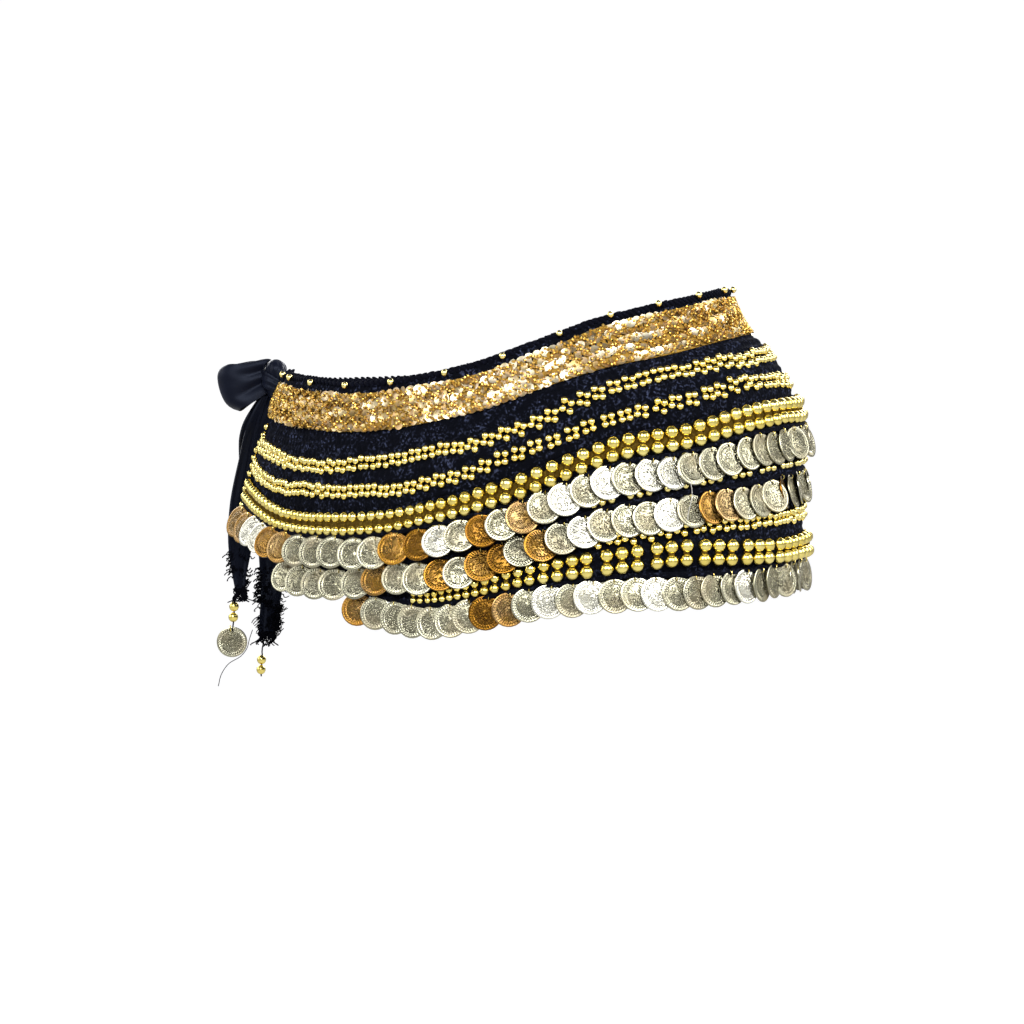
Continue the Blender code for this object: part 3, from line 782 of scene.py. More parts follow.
class Nodes:
    """A short way to lay out the nodes of a material or a node group."""

    def __init__(self, tree: bpy.types.NodeTree) -> None:
        """Work on one node tree."""
        self.tree = tree

    def add(self, kind: str, values: dict | None = None, **settings: object) -> Node:
        """Add a node.

        Args:
            kind: the node's type.
            values: input values or the outputs that feed them, by name or number.
            settings: the node's own settings.

        Returns:
            The node.
        """
        node = self.tree.nodes.new(kind)
        for name, setting in settings.items():
            setattr(node, name, setting)
        self.feed(node, values or {})
        return node

    def feed(self, node: Node, values: dict) -> None:
        """Set or link a node's inputs.

        Args:
            node: the node.
            values: input values or the outputs that feed them, by name or number.
        """
        for key, value in values.items():
            if isinstance(value, Socket):
                self.tree.links.new(value, node.inputs[key])
            else:
                node.inputs[key].default_value = value

    def place(self) -> Socket:
        """The place on the object."""
        return self.add("ShaderNodeTexCoord").outputs["Object"]

    def tone(self) -> Socket:
        """The tone that each point carries."""
        return self.add("ShaderNodeAttribute", attribute_name="tone").outputs["Fac"]

    def noise(self, place: Socket, scale: object, detail: float = 0.0, output: str = "Fac",
              **values: float) -> Socket:
        """Read an output of a noise, with its scale and its number of finer layers."""
        values = {"Vector": place, "Scale": scale, "Detail": detail, **values}
        return self.add("ShaderNodeTexNoise", values).outputs[output]

    def math(self, operation: str, *values: object) -> Socket:
        """Work out one number from others, or from the outputs that give them."""
        return self.add("ShaderNodeMath", dict(enumerate(values)), operation=operation).outputs[0]

    def times(self, first: object, second: object) -> Socket:
        """Multiply two numbers."""
        return self.math("MULTIPLY", first, second)

    def mix(self, share: object, first: object, second: object) -> Socket:
        """Mix two colours, with a share of the second one."""
        return self.add("ShaderNodeMix", {0: share, 6: first, 7: second}, data_type="RGBA").outputs[2]

    def ramp(self, value: object, low: float, high: float) -> Socket:
        """Stretch a value so that low gives 0 and high gives 1."""
        return self.add("ShaderNodeMapRange", {0: value, 1: low, 2: high}, clamp=True).outputs[0]


def rgba(colour: Colour) -> tuple[float, float, float, float]:
    """A colour with a full alpha."""
    return (*colour, 1.0)


def node_group(name: str, inputs: dict[str, object],
               outputs: dict[str, str]) -> tuple[bpy.types.NodeTree, Nodes | None]:
    """Start a shader node group, or find it if it is there already.

    Args:
        name: the group's name.
        inputs: its inputs' default values, by name.
        outputs: its outputs' socket types, by name.

    Returns:
        The group, and the helper that lays out its nodes if the group is new.
    """
    if name in bpy.data.node_groups:
        return bpy.data.node_groups[name], None
    tree = bpy.data.node_groups.new(name, "ShaderNodeTree")
    for socket_name, value in inputs.items():
        kind = "NodeSocketFloat" if isinstance(value, float) else "NodeSocketColor"
        socket = tree.interface.new_socket(socket_name, in_out="INPUT", socket_type=kind)
        socket.default_value = value
    for socket_name, kind in outputs.items():
        tree.interface.new_socket(socket_name, in_out="OUTPUT", socket_type=kind)
    return tree, Nodes(tree)


def fibre_group() -> bpy.types.NodeTree:
    """The fuzz of yarn and thread: flecks of lighter fibre and an uneven height.

    Returns:
        The group.
    """
    tree, nodes = node_group(
        "yarn_fibres", {"Yarn": rgba((0.01, 0.01, 0.03)), "Fleck": rgba((0.03, 0.04, 0.1)),
                        "Fibres": 900.0, "Flecks": 0.5},
        {"Colour": "NodeSocketColor", "Height": "NodeSocketFloat"})
    if nodes:
        source = nodes.add("NodeGroupInput").outputs
        place = nodes.place()
        fine = nodes.noise(place, source["Fibres"], 1.0, Roughness=0.6)
        clumps = nodes.times(source["Fibres"], 0.24)
        broad = nodes.noise(place, clumps)
        fleck = nodes.ramp(fine, 0.52, 0.70)
        fleck = nodes.times(fleck, nodes.ramp(broad, 0.35, 0.65))
        fleck = nodes.times(fleck, source["Flecks"])
        colour = nodes.mix(fleck, source["Yarn"], source["Fleck"])
        height = nodes.math("MULTIPLY_ADD", broad, 1.4, fine)
        nodes.add("NodeGroupOutput", {"Colour": colour, "Height": height})
    return tree


def plating_group() -> bpy.types.NodeTree:
    """Thin bright plating: its tone from piece to piece, which on sequins and coins also carries painted
    light, its dull spots and its scuffs.

    Returns:
        The group.
    """
    tree, nodes = node_group(
        "bright_plating", {"Deep": rgba((0.5, 0.3, 0.1)), "Bright": rgba((0.9, 0.8, 0.5)), "Tone": 0.5,
                           "Grain": 400.0, "Polish": 0.2, "Dulling": 0.2},
        {"Colour": "NodeSocketColor", "Roughness": "NodeSocketFloat"})
    if nodes:
        source = nodes.add("NodeGroupInput").outputs
        place = nodes.place()
        grain = nodes.noise(place, source["Grain"])
        spots = nodes.times(source["Grain"], 0.3)
        broad = nodes.noise(place, spots)
        dull = nodes.times(nodes.ramp(broad, 0.48, 0.70), source["Dulling"])
        tone = nodes.math("SUBTRACT", source["Tone"], nodes.times(dull, 0.6))
        colour = nodes.mix(tone, source["Deep"], source["Bright"])
        rough = nodes.math("MULTIPLY_ADD", grain, 0.10, source["Polish"])
        rough = nodes.math("ADD", rough, nodes.times(dull, 0.35))
        nodes.add("NodeGroupOutput", {"Colour": colour, "Roughness": rough})
    return tree


class Stamping(Enum):
    """What is pressed into a thin bright piece."""

    SMOOTH = "smooth"
    COIN = "coin"


@dataclass(frozen=True)
class Finish:
    """A surface finish, which makes its material once."""

    name: str
    colour: Colour

    def material(self) -> bpy.types.Material:
        """Make the finish's material the first time that it is asked for.

        Returns:
            The material.
        """
        if self.name in bpy.data.materials:
            return bpy.data.materials[self.name]
        material = bpy.data.materials.new(self.name)
        material.use_nodes = True
        material.diffuse_color = rgba(self.colour)
        self.dress(Nodes(material.node_tree), material.node_tree.nodes["Principled BSDF"])
        return material

    def dress(self, nodes: Nodes, surface: Node) -> None:
        """Lay out the material's nodes. Each kind of finish has its own."""
        raise NotImplementedError

    @staticmethod
    def bump(nodes: Nodes, surface: Node, height: object, strength: float, distance: float) -> None:
        """Feed a height to the surface's normal. A height of one is distance millimetres."""
        bump = nodes.add("ShaderNodeBump", {"Height": height, "Strength": strength,
                                            "Distance": distance * MM})
        nodes.feed(surface, {"Normal": bump.outputs[0]})


@dataclass(frozen=True)
class YarnFinish(Finish):
    """Fuzzy chenille yarn or sewing thread."""

    fleck: Colour = (0.03, 0.04, 0.1)
    fibres: float = 900.0
    flecks: float = 0.6
    depth: float = 0.5
    sheen: float = 0.4
    specular: float = 0.15

    def dress(self, nodes: Nodes, surface: Node) -> None:
        """Lay out the yarn's nodes. Its tone paints shade into the hollows between stitches.

        Args:
            nodes: the material's nodes.
            surface: its shader.
        """
        tone = nodes.tone()
        fibres = nodes.add("ShaderNodeGroup", node_tree=fibre_group())
        nodes.feed(fibres, {"Yarn": rgba(self.colour), "Fleck": rgba(self.fleck),
                            "Fibres": self.fibres, "Flecks": self.flecks})
        # Painted shade: low tones take the lighter flecks away and leave the dark yarn colour.
        hollow = nodes.ramp(tone, 0.95, 0.45)
        colour = nodes.mix(nodes.times(hollow, 0.75), fibres.outputs["Colour"], rgba(self.colour))
        nodes.feed(surface, {
            "Base Color": colour, "Roughness": 0.95, "Specular IOR Level": self.specular,
            "Sheen Weight": self.sheen, "Sheen Roughness": 0.6, "Sheen Tint": rgba((0.22, 0.25, 0.42))})
        self.bump(nodes, surface, fibres.outputs["Height"], 0.9, self.depth)


@dataclass(frozen=True)
class SatinFinish(Finish):
    """Smooth woven satin ribbon."""

    # The colour of a painted sheen at grazing angles.
    glow: Colour = (0.03, 0.04, 0.07)

    def dress(self, nodes: Nodes, surface: Node) -> None:
        """Lay out the satin's nodes.

        Args:
            nodes: the material's nodes.
            surface: its shader.
        """
        place = nodes.place()
        weave = nodes.noise(place, 1500.0, 2.0)
        soft = nodes.noise(place, 70.0, 2.0)
        edge = nodes.add("ShaderNodeLayerWeight", {"Blend": 0.35}).outputs["Facing"]
        # Painted sheen: soft patches at grazing angles take the paler blue glow colour.
        share = nodes.times(edge, nodes.ramp(soft, 0.25, 0.75))
        colour = nodes.mix(share, rgba(self.colour), rgba(self.glow))
        rough = nodes.math("MULTIPLY_ADD", soft, 0.16, 0.38)
        nodes.feed(surface, {
            "Base Color": colour, "Roughness": rough, "Specular IOR Level": 0.14,
            "Specular Tint": rgba((0.62, 0.72, 1.0)), "Sheen Weight": 0.04,
            "Sheen Tint": rgba((0.4, 0.45, 0.65))})
        self.bump(nodes, surface, weave, 0.25, 0.1)


@dataclass(frozen=True)
class PlatedFinish(Finish):
    """Bright plating on plastic beads, sequins and thin stamped coins."""

    # Low tones take the deep colour and high tones the bright one: at random on beads, partly painted
    # glint on sequins, painted light on coins.
    deep: Colour = (0.5, 0.3, 0.1)
    grain: float = 400.0
    polish: float = 0.16
    dulling: float = 0.3
    stamping: Stamping = Stamping.SMOOTH
    # The colour painted at grazing angles: a painted reflection of dark surroundings that darkens the
    # rims.
    edge: Colour = (0.4, 0.3, 0.1)
    tint: float = 0.12

    def dress(self, nodes: Nodes, surface: Node) -> None:
        """Lay out the plating's nodes.

        Args:
            nodes: the material's nodes.
            surface: its shader.
        """
        tone = nodes.tone()
        plating = nodes.add("ShaderNodeGroup", node_tree=plating_group())
        # On coins the tone is painted light: low tones paint an amber reflection of dark surroundings and
        # neighbouring coins.
        shade = nodes.ramp(tone, 0.06, 0.34) if self.stamping is Stamping.COIN else tone
        nodes.feed(plating, {
            "Deep": rgba(self.deep), "Bright": rgba(self.colour), "Grain": self.grain,
            "Polish": self.polish, "Dulling": self.dulling, "Tone": shade})
        place = nodes.place()
        spots = nodes.noise(place, 620.0)
        blush = nodes.mix(nodes.ramp(spots, 0.40, 0.60),
                          rgba((0.62, 0.55, 0.80)), rgba((0.62, 0.78, 0.52)))
        colour = nodes.mix(self.tint, plating.outputs["Colour"], blush)
        # Painted reflection: rims take the darker edge colour, as if they mirrored dark surroundings.
        facing = nodes.add("ShaderNodeLayerWeight", {"Blend": 0.36}).outputs["Facing"]
        colour = nodes.mix(nodes.math("POWER", facing, 1.6), colour, rgba(self.edge))
        if self.stamping is Stamping.COIN:
            relief, painted_hollow_shade = self._coin_relief(nodes)
            # Painted glint: the highest tones turn a coin near white, with less painted shade in its
            # hollows.
            glint = nodes.ramp(tone, 0.955, 0.985)
            painted_hollow_shade = nodes.times(painted_hollow_shade, nodes.math("MULTIPLY_ADD", glint, -0.25, 0.85))
            # Painted shade in the stamped hollows.
            colour = nodes.mix(painted_hollow_shade, colour, rgba((0.07, 0.06, 0.025)))
            # Painted shadow: the lowest tones turn a coin dark amber where other coins would shade it.
            shadowed = nodes.ramp(tone, 0.05, 0.0)
            colour = nodes.mix(nodes.times(shadowed, 0.6), colour, rgba((0.10, 0.04, 0.002)))
            colour = nodes.mix(nodes.times(glint, 0.75), colour, rgba((0.74, 0.73, 0.64)))
            self.bump(nodes, surface, relief, 1.0, 0.27)
        nodes.feed(surface, {"Base Color": colour, "Metallic": 1.0,
                             "Roughness": plating.outputs["Roughness"]})

    @staticmethod
    def _coin_relief(nodes: Nodes) -> tuple[Socket, Socket]:
        """The stamped field: a plain wreath of dashes round scrolls that read as nothing.

        Args:
            nodes: the material's nodes.

        Returns:
            The relief, and how much painted shade its hollows take.
        """
        flat = nodes.add("ShaderNodeUVMap", uv_map="flat_map").outputs[0]
        centred = nodes.add("ShaderNodeVectorMath", {0: flat, 1: (0.5, 0.5, 0.0)},
                            operation="SUBTRACT").outputs[0]
        parts = nodes.add("ShaderNodeSeparateXYZ", {0: centred})
        angle = nodes.math("ARCTAN2", parts.outputs[1], parts.outputs[0])
        reach = nodes.add("ShaderNodeVectorMath", {0: centred}, operation="LENGTH").outputs["Value"]
        wreath = nodes.math("SINE", nodes.times(angle, 34.0))
        near_rim = nodes.times(nodes.ramp(reach, 0.36, 0.38), nodes.ramp(reach, 0.445, 0.425))
        wreath = nodes.times(wreath, near_rim)
        place = nodes.place()
        drift = nodes.noise(place, 60.0, output="Color")
        shifted = nodes.add("ShaderNodeVectorMath", {0: centred, 1: drift}, operation="ADD")
        scrolls = nodes.add("ShaderNodeTexVoronoi", {"Vector": shifted.outputs[0], "Scale": 17.0})
        field_share = nodes.ramp(reach, 0.36, 0.33)
        scroll = nodes.times(nodes.ramp(scrolls.outputs["Distance"], 0.15, 0.55), field_share)
        relief = nodes.math("MULTIPLY_ADD", wreath, 0.5, nodes.times(scroll, -1.6))
        painted_hollow_shade = nodes.times(nodes.ramp(scrolls.outputs["Distance"], 0.36, 0.60),
                             nodes.times(field_share, 0.55))
        return relief, painted_hollow_shade


KNIT = YarnFinish("navy_chenille", (0.0014, 0.0017, 0.0034), fleck=(0.046, 0.056, 0.105),
                  fibres=620.0, flecks=1.0, depth=0.7, sheen=0.03, specular=0.04)
CROCHET = YarnFinish("navy_crochet_cord", (0.0012, 0.0014, 0.0036),
                     fleck=(0.020, 0.026, 0.060), fibres=1300.0, depth=0.3, sheen=0.03, specular=0.05)
BACKING = YarnFinish("ochre_backing_net", (0.28, 0.16, 0.025), fleck=(0.55, 0.34, 0.08),
                     fibres=1600.0, flecks=0.8, depth=0.25, sheen=0.0)
THREAD = YarnFinish("dark_thread", (0.0012, 0.0012, 0.0028), fleck=(0.008, 0.009, 0.016),
                    fibres=2600.0, flecks=0.5, depth=0.1, sheen=0.02, specular=0.05)
PALE_THREAD = YarnFinish("pale_thread", (0.42, 0.40, 0.36), fleck=(0.7, 0.68, 0.6),
                         fibres=2600.0, flecks=0.5, depth=0.1, sheen=0.1)
GOLD_THREAD = YarnFinish("ochre_beading_thread", (0.055, 0.031, 0.002),
                         fleck=(0.66, 0.46, 0.06), fibres=2600.0, flecks=0.9, depth=0.1, sheen=0.0)
SATIN = SatinFinish("black_satin_ribbon", (0.0014, 0.0018, 0.0048), glow=(0.010, 0.014, 0.034))
LARGE_GOLD = PlatedFinish("gold_large_beads", (0.90, 0.76, 0.24), deep=(0.72, 0.54, 0.07),
                          grain=300.0, polish=0.14, dulling=0.25, edge=(0.30, 0.20, 0.010), tint=0.05)
SMALL_GOLD = PlatedFinish("gold_small_beads", (0.92, 0.79, 0.30), deep=(0.78, 0.60, 0.12),
                          grain=500.0, polish=0.13, dulling=0.2, edge=(0.42, 0.29, 0.02), tint=0.06)
# The coins' deep colour is a painted amber reflection, and their tones carry painted shadows and glints.
COIN = PlatedFinish("stamped_coins", (0.39, 0.375, 0.27), deep=(0.28, 0.127, 0.003),
                    grain=260.0, polish=0.19, dulling=0.30, stamping=Stamping.COIN,
                    edge=(0.30, 0.26, 0.14), tint=0.03)
SEQUIN = PlatedFinish("pale_sequins", (0.98, 0.90, 0.68), deep=(0.48, 0.30, 0.06),
                      grain=180.0, polish=0.32, dulling=0.4, edge=(0.60, 0.47, 0.28), tint=0.16)
SEED = PlatedFinish("orange_gold_seed_beads", (0.80, 0.52, 0.085), deep=(0.48, 0.25, 0.012),
                    grain=900.0, polish=0.26, dulling=0.2, edge=(0.45, 0.24, 0.02), tint=0.08)


def wander(count: int, seed: float, step: float, size: float) -> Array:
    """Uneven amounts up to a size either way, for a row of pieces with its own seed."""
    wave = np.sin(np.arange(count) * 12.9898 + (seed + step) * 78.233)
    return size * np.modf(wave * 43758.5453)[0]


def knit_relief(azimuth: Array, height: Array, pitch: float, rise: float) -> Array:
    """The raised stitches of a crocheted face, in staggered courses, in millimetres.

    Args:
        azimuth: degrees round the figure.
        height: millimetres above the origin.
        pitch: millimetres from one stitch to the next.
        rise: how far the stitches stand up.

    Returns:
        The relief at each point.
    """
    length = CLOTH.length_at(azimuth)
    drift = 0.9 * np.sin(length / 37.0) + 0.5 * np.sin(height / 9.0 + length / 61.0)
    course = (CLOTH.edge(azimuth) - height) / pitch
    side = np.floor(course) % 2.0
    phase = 2 * math.pi * ((length + drift) / pitch + 0.5 * side)
    across = 0.5 + 0.5 * np.cos(phase)
    along = np.abs(np.sin(math.pi * (course + 0.16 * np.abs(np.sin(phase / 2)))))
    return rise * across ** 0.7 * along ** 0.6


@dataclass
class KnitPanel:
    """A crocheted panel of the scarf, worn round the figure."""

    name: str
    levels: tuple[tuple[str, float], ...]
    bulges: tuple[float, ...]
    rows: tuple[int, ...]
    columns: int = 1200
    stitch_pitch: float = 4.0
    stitch_rise: float = 1.1
    inner_step: int = 8
    fade_columns: float = 4.0

    def heights_and_bulges(self, azimuth: Array) -> tuple[Array, Array]:
        """Heights of the panel's rows of points and how far each one bulges.

        Args:
            azimuth: the columns' azimuths.

        Returns:
            The heights and the bulges, both as rows from the top down.
        """
        lines = [CLOTH.row_height(azimuth, row, below) if row else
                 CLOTH.edge(azimuth) - below for row, below in self.levels]
        heights, bulges = [lines[0]], [np.zeros_like(azimuth)]
        for upper, lower, bulge, count in zip(lines, lines[1:], self.bulges, self.rows):
            room = np.clip((upper - lower) / 12.0, 0.0, 1.0)
            for share in np.arange(1, count + 1) / count:
                heights.append(upper + share * (lower - upper))
                bulges.append(bulge * room * math.sin(math.pi * share) ** 0.7)
        return np.array(heights), np.array(bulges)

    def build(self) -> None:
        """Make the panel, which thins out at its two ends."""
        azimuth = CLOTH.evenly(0.0, CLOTH.whole, self.columns + 1)
        heights, bulges = self.heights_and_bulges(azimuth)
        relief = knit_relief(azimuth, heights, self.stitch_pitch, self.stitch_rise)
        column = np.arange(self.columns + 1)
        fade = np.minimum(1.0, np.minimum(column, column[::-1]) / self.fade_columns)
        outer = CLOTH.point(azimuth, heights, bulges * fade + (relief - 0.35) * fade)
        step = self.inner_step
        down = 1 if (len(heights) - 1) % 2 else 2
        inner = CLOTH.point(azimuth[::step], heights[::down, ::step],
                            0.6 * bulges[::down, ::step] - CLOTH_DEPTH)
        piece = Gathered(self.name)
        # The stitches' relief sets the tone, which paints shade into the hollows between them.
        shell(piece, outer, inner, (down, step), 0.5 + 0.5 * relief)
        panel = piece.build([KNIT], self.name, "knit", 80.0)


@dataclass
class EdgeCord:
    """The crocheted cord along the top edge, with a small bead here and there."""

    radius: float = EDGE_CORD_RADIUS
    stitch: float = 4.4
    bead: float = 4.0
    bead_pitch: float = 38.0
    first_bead: float = 9.0
    leaf: tuple[float, float, float] = (5.4, 2.1, 2.1)

    def build(self) -> None:
        """Make the cord and its beads."""
        cord = Gathered("edge_cord")
        azimuth = CLOTH.spaced(TIED_END, FAR_END, 2.0)
        height = CLOTH.edge(azimuth)
        tube(cord, CLOTH.point(azimuth, height - 0.9, -1.25), 0.70 * self.radius, 8)
        self._add_chain(cord)
        cord.build([CROCHET], "edge_cord", "knit", 80.0)
        beads = Gathered("edge_beads")
        at = CLOTH.azimuth_at(np.arange(self.first_bead, CLOTH.whole, self.bead_pitch))
        level = CLOTH.row_height(at, "sequin_top", -4.2)
        beads.stamp(small_ball(self.bead), CLOTH.point(at, level, 3.0), CLOTH.axes(at, level), 0.9)
        beads.build([SMALL_GOLD], "", "beads")

    def _add_chain(self, cord: Gathered) -> None:
        """Add the chain's loops: slanting leaves over the cord.

        Args:
            cord: the cord's mesh.
        """
        leaf = small_ball(1.0)
        leaf.points *= self.leaf
        azimuth = CLOTH.spaced(TIED_END, FAR_END, self.stitch)
        for side, slant, out, up in ((0, 30.0, -0.1, 0.9), (1, -34.0, 0.55, -0.7), (2, 24.0, -2.4, 0.5)):
            uneven = partial(wander, len(azimuth), side)
            at = azimuth + 0.35 * side + uneven(1.3, 0.12)
            level = CLOTH.edge(at) - 0.9 + 0.85 * up + uneven(2.7, 0.25)
            turns = turned(CLOTH.axes(at, level), swing=slant + uneven(0, 9.0))
            cord.stamp(leaf, CLOTH.point(at, level, out), turns)


@dataclass
class SequinBand:
    """The band below the cord: holed sequins and zig-zag lines of seed beads on a net."""

    sequin: float = 6.2
    rows: int = 5
    pitch: float = 5.2
    seed: float = 2.0
    seed_pitch: float = 1.9
    seed_lines: int = 6
    zigzag: float = 10.0
    net_out: tuple[float, float] = (0.35, 0.85)

    def painted_glint(self, azimuth: Array) -> Array:
        """How much painted glint the sequins carry, from 0 to 1: most over the hips."""
        return np.clip(np.exp(-((azimuth - 40.0) / 29.0) ** 4)
                       + 0.8 * np.exp(-((azimuth - 168.0) / 22.0) ** 2)
                       + 0.9 * np.exp(-((azimuth - 238.0) / 17.0) ** 2), 0.0, 1.0)

    def level(self, azimuth: Array, share: Values) -> Array:
        """Heights at a share of the way down the band."""
        upper = CLOTH.row_height(azimuth, "sequin_top")
        return upper + share * (CLOTH.row_height(azimuth, "sequin_foot", -0.6) - upper)

    def build(self) -> None:
        """Make the net, the sequins and the seed beads."""
        self._add_net()
        self._add_sequins()
        self._add_seeds()

    def _add_net(self) -> None:
        """Make the net that the sequins are sewn to."""
        net = Gathered("sequin_net")
        azimuth = CLOTH.evenly(1.0, CLOTH.whole - 1.0, 481)
        heights = np.array([self.level(azimuth, share) for share in np.linspace(0, 1, 7)])
        shell(net, CLOTH.point(azimuth, heights, self.net_out[1]),
              CLOTH.point(azimuth, heights, self.net_out[0]), (1, 1))
        piece = net.build([BACKING], "sequin_band", "sequins", 80.0)

    def _sequin(self) -> Template:
        """A shallow cupped sequin with a hole, facing along its third direction.

        Returns:
            The sequin.
        """
        turn = once_round(10)
        rings = ((0.13, 0.05), (0.55, 0.10), (1.0, 0.42), (0.98, 0.32))
        points = np.array([(share * math.cos(a) * self.sequin / 2,
                            share * math.sin(a) * self.sequin / 2, rise)
                           for share, rise in rings for a in turn]) * MM
        number = np.arange(len(points)).reshape(len(rings), len(turn))
        return Template(points, [ring_faces(number, onward_first=True).reshape(-1, 4)])

    def _add_sequins(self) -> None:
        """Make the sequins, in rows that overlap like scales."""
        sequins = Gathered("sequins")
        form = self._sequin()
        for row in range(self.rows):
            azimuth = CLOTH.spaced(TIED_END + 0.8, FAR_END - 0.8, self.pitch)
            uneven = partial(wander, len(azimuth), row)
            azimuth = azimuth + (row % 2) * 0.5 * self.pitch / 2.9
            azimuth = np.clip(azimuth + uneven(0.3, 0.22), None, FAR_END - 0.8)
            share = np.clip((row + 0.5) / self.rows + uneven(5.1, 0.035), 0.02, 0.98)
            height = self.level(azimuth, share)
            turns = turned(CLOTH.axes(azimuth, height), yaw=uneven(9.7, 24.0),
                           tilt=-6.0 + uneven(3.3, 20.0), swing=uneven(7, 60.0))
            # The tone is partly random and partly painted glint, so sequins turn pale where the glint is
            # painted.
            tones = 0.04 + 0.52 * self.painted_glint(azimuth) + uneven(11, 0.46)
            sequins.stamp(form, CLOTH.point(azimuth, height, 1.15), turns, tones)
        sequins.build([SEQUIN], "", "sequins", 35.0)

    def _add_seeds(self) -> None:
        """Make the seed beads, on zig-zag threads."""
        seeds = Gathered("seed_beads")
        form = small_ball(self.seed, subdivisions=1)
        form.points *= (1.0, 0.85, 1.0)
        for line in range(self.seed_lines):
            azimuth = CLOTH.spaced(TIED_END + 0.5, FAR_END - 0.5, self.seed_pitch)
            uneven = partial(wander, len(azimuth), line)
            turns_done = (CLOTH.length_at(azimuth) / self.zigzag + 0.5 * (line % 2)
                          + 0.12 * np.sin(CLOTH.length_at(azimuth) / 29.0 + line))
            wave = 2.0 * np.abs(turns_done % 1.0 - 0.5) - 0.5
            share = (line + 0.5 + 0.92 * wave) / self.seed_lines
            share = np.clip(share + uneven(0.9, 0.025), 0.0, 1.0)
            thinned = uneven(6, 1.0) < 1.75 - self.painted_glint(azimuth)
            azimuth, share = azimuth[thinned], share[thinned]
            uneven = partial(wander, len(azimuth), line)
            height = self.level(azimuth, share)
            turns = turned(CLOTH.axes(azimuth, height), swing=uneven(0, 40.0), tilt=uneven(4, 50.0))
            tones = 0.60 + uneven(2, 0.40)
            seeds.stamp(form, CLOTH.point(azimuth, height, 2.05), turns, tones)
        seeds.build([SEED], "", "beads", 20.0)


@dataclass
class SmallBeads:
    """The rows of small beads sewn to the knit."""

    bead: float = 4.5
    pitch: float = 4.35
    touching_before: float = 12.0
    out: float = 1.7

    def __post_init__(self) -> None:
        """Start the mesh and make the bead."""
        self.piece = Gathered("small_beads")
        self.form = small_ball(self.bead)

    def build(self) -> None:
        """Make all the rows."""
        for seed, (row, reach, spread) in enumerate((
            ("beads_1", 178.0, 0.9), ("beads_2", 178.0, 2.3), ("beads_3", 75.0, 0.9))):
            self._double_row(row, reach, spread, 3.0 * seed)
        self._single_row()
        self._end_columns()
        self.piece.build([SMALL_GOLD], "", "beads", 180.0)

    def _add(self, azimuth: Array, height: Array, seed: float, lift: float = 0.0) -> None:
        """Add beads.

        Args:
            azimuth: degrees round the figure.
            height: millimetres above the origin.
            seed: what makes their unevenness their own.
            lift: how far they are lifted where others lie below.
        """
        uneven = partial(wander, len(azimuth), seed)
        azimuth = azimuth + uneven(0, 0.12)
        height = height + uneven(1, 0.35)
        turns = turned(CLOTH.axes(azimuth, height), swing=uneven(2, 90.0))
        out = self.out + lift + uneven(4, 0.35)
        tones = 0.66 + uneven(3, 0.34)
        self.piece.stamp(self.form, CLOTH.point(azimuth, height, out), turns, tones)

    def _double_row(self, row: str, reach: float, spread: float, seed: float) -> None:
        """Add beads sewn on two and two: close near the tied end, looser further on.

        Args:
            row: the row's name.
            reach: how far it goes from the deep middle, in degrees.
            spread: how wide the gaps between its groups grow, in millimetres.
            seed: what makes its unevenness its own.
        """
        first = max(TIED_END + 1.0, DEEP_MIDDLE - reach)
        last = min(FAR_END - 1.0, DEEP_MIDDLE + reach)
        lengths = [float(CLOTH.length_at(first)) + self.pitch]
        end = float(CLOTH.length_at(last)) - self.pitch
        number = 0
        while lengths[-1] < end:
            number += 1
            loose = float(np.clip((CLOTH.azimuth_at(lengths[-1]) - self.touching_before) / 25.0,
                                  0.0, 1.0))
            gap = 0.2 + spread * loose * (0.5 + 0.5 * math.sin(2.3 * number + seed))
            lengths.append(lengths[-1] + 2 * self.pitch + gap)
        length = np.array(lengths)
        uneven = partial(wander, len(length), seed)
        azimuth = CLOTH.azimuth_at(length)
        middle = CLOTH.row_height(azimuth, row) + uneven(0, 0.9) + 0.5 * np.sin(length / 23.0 + seed)
        lean = np.radians(uneven(2, 20.0))
        for side in (-0.5, 0.5):
            for level in (-0.5, 0.5):
                ahead = self.pitch * (side * np.cos(lean) - level * np.sin(lean))
                above = self.pitch * (level * np.cos(lean) + side * np.sin(lean))
                at = CLOTH.azimuth_at(length + ahead)
                self._add(at, middle + above, seed + 3 * side + level)

    def _single_row(self) -> None:
        """Add the row of single beads between the coins, round the deep middle."""
        azimuth = CLOTH.spaced(DEEP_MIDDLE - 75.0, DEEP_MIDDLE + 75.0, self.pitch * 1.15)
        keep = np.arange(len(azimuth)) % 4 < 3
        azimuth = azimuth[keep]
        self._add(azimuth, CLOTH.row_height(azimuth, "single", 0.5), 21.0)

    def _end_columns(self) -> None:
        """Add the beads down the scarf's two end edges."""
        for azimuth, way, seed in ((TIED_END, 1.0, 31.0), (FAR_END, -1.0, 37.0)):
            top = float(CLOTH.row_height(azimuth, "beads_1", -9.0))
            foot = float(CLOTH.row_height(azimuth, "coins_3", -4.0))
            height = np.arange(top, foot, -self.pitch * 1.08)
            at = azimuth + way * (2.0 + wander(len(height), seed, 9, 0.7))
            self._add(at, height, seed, 1.1)


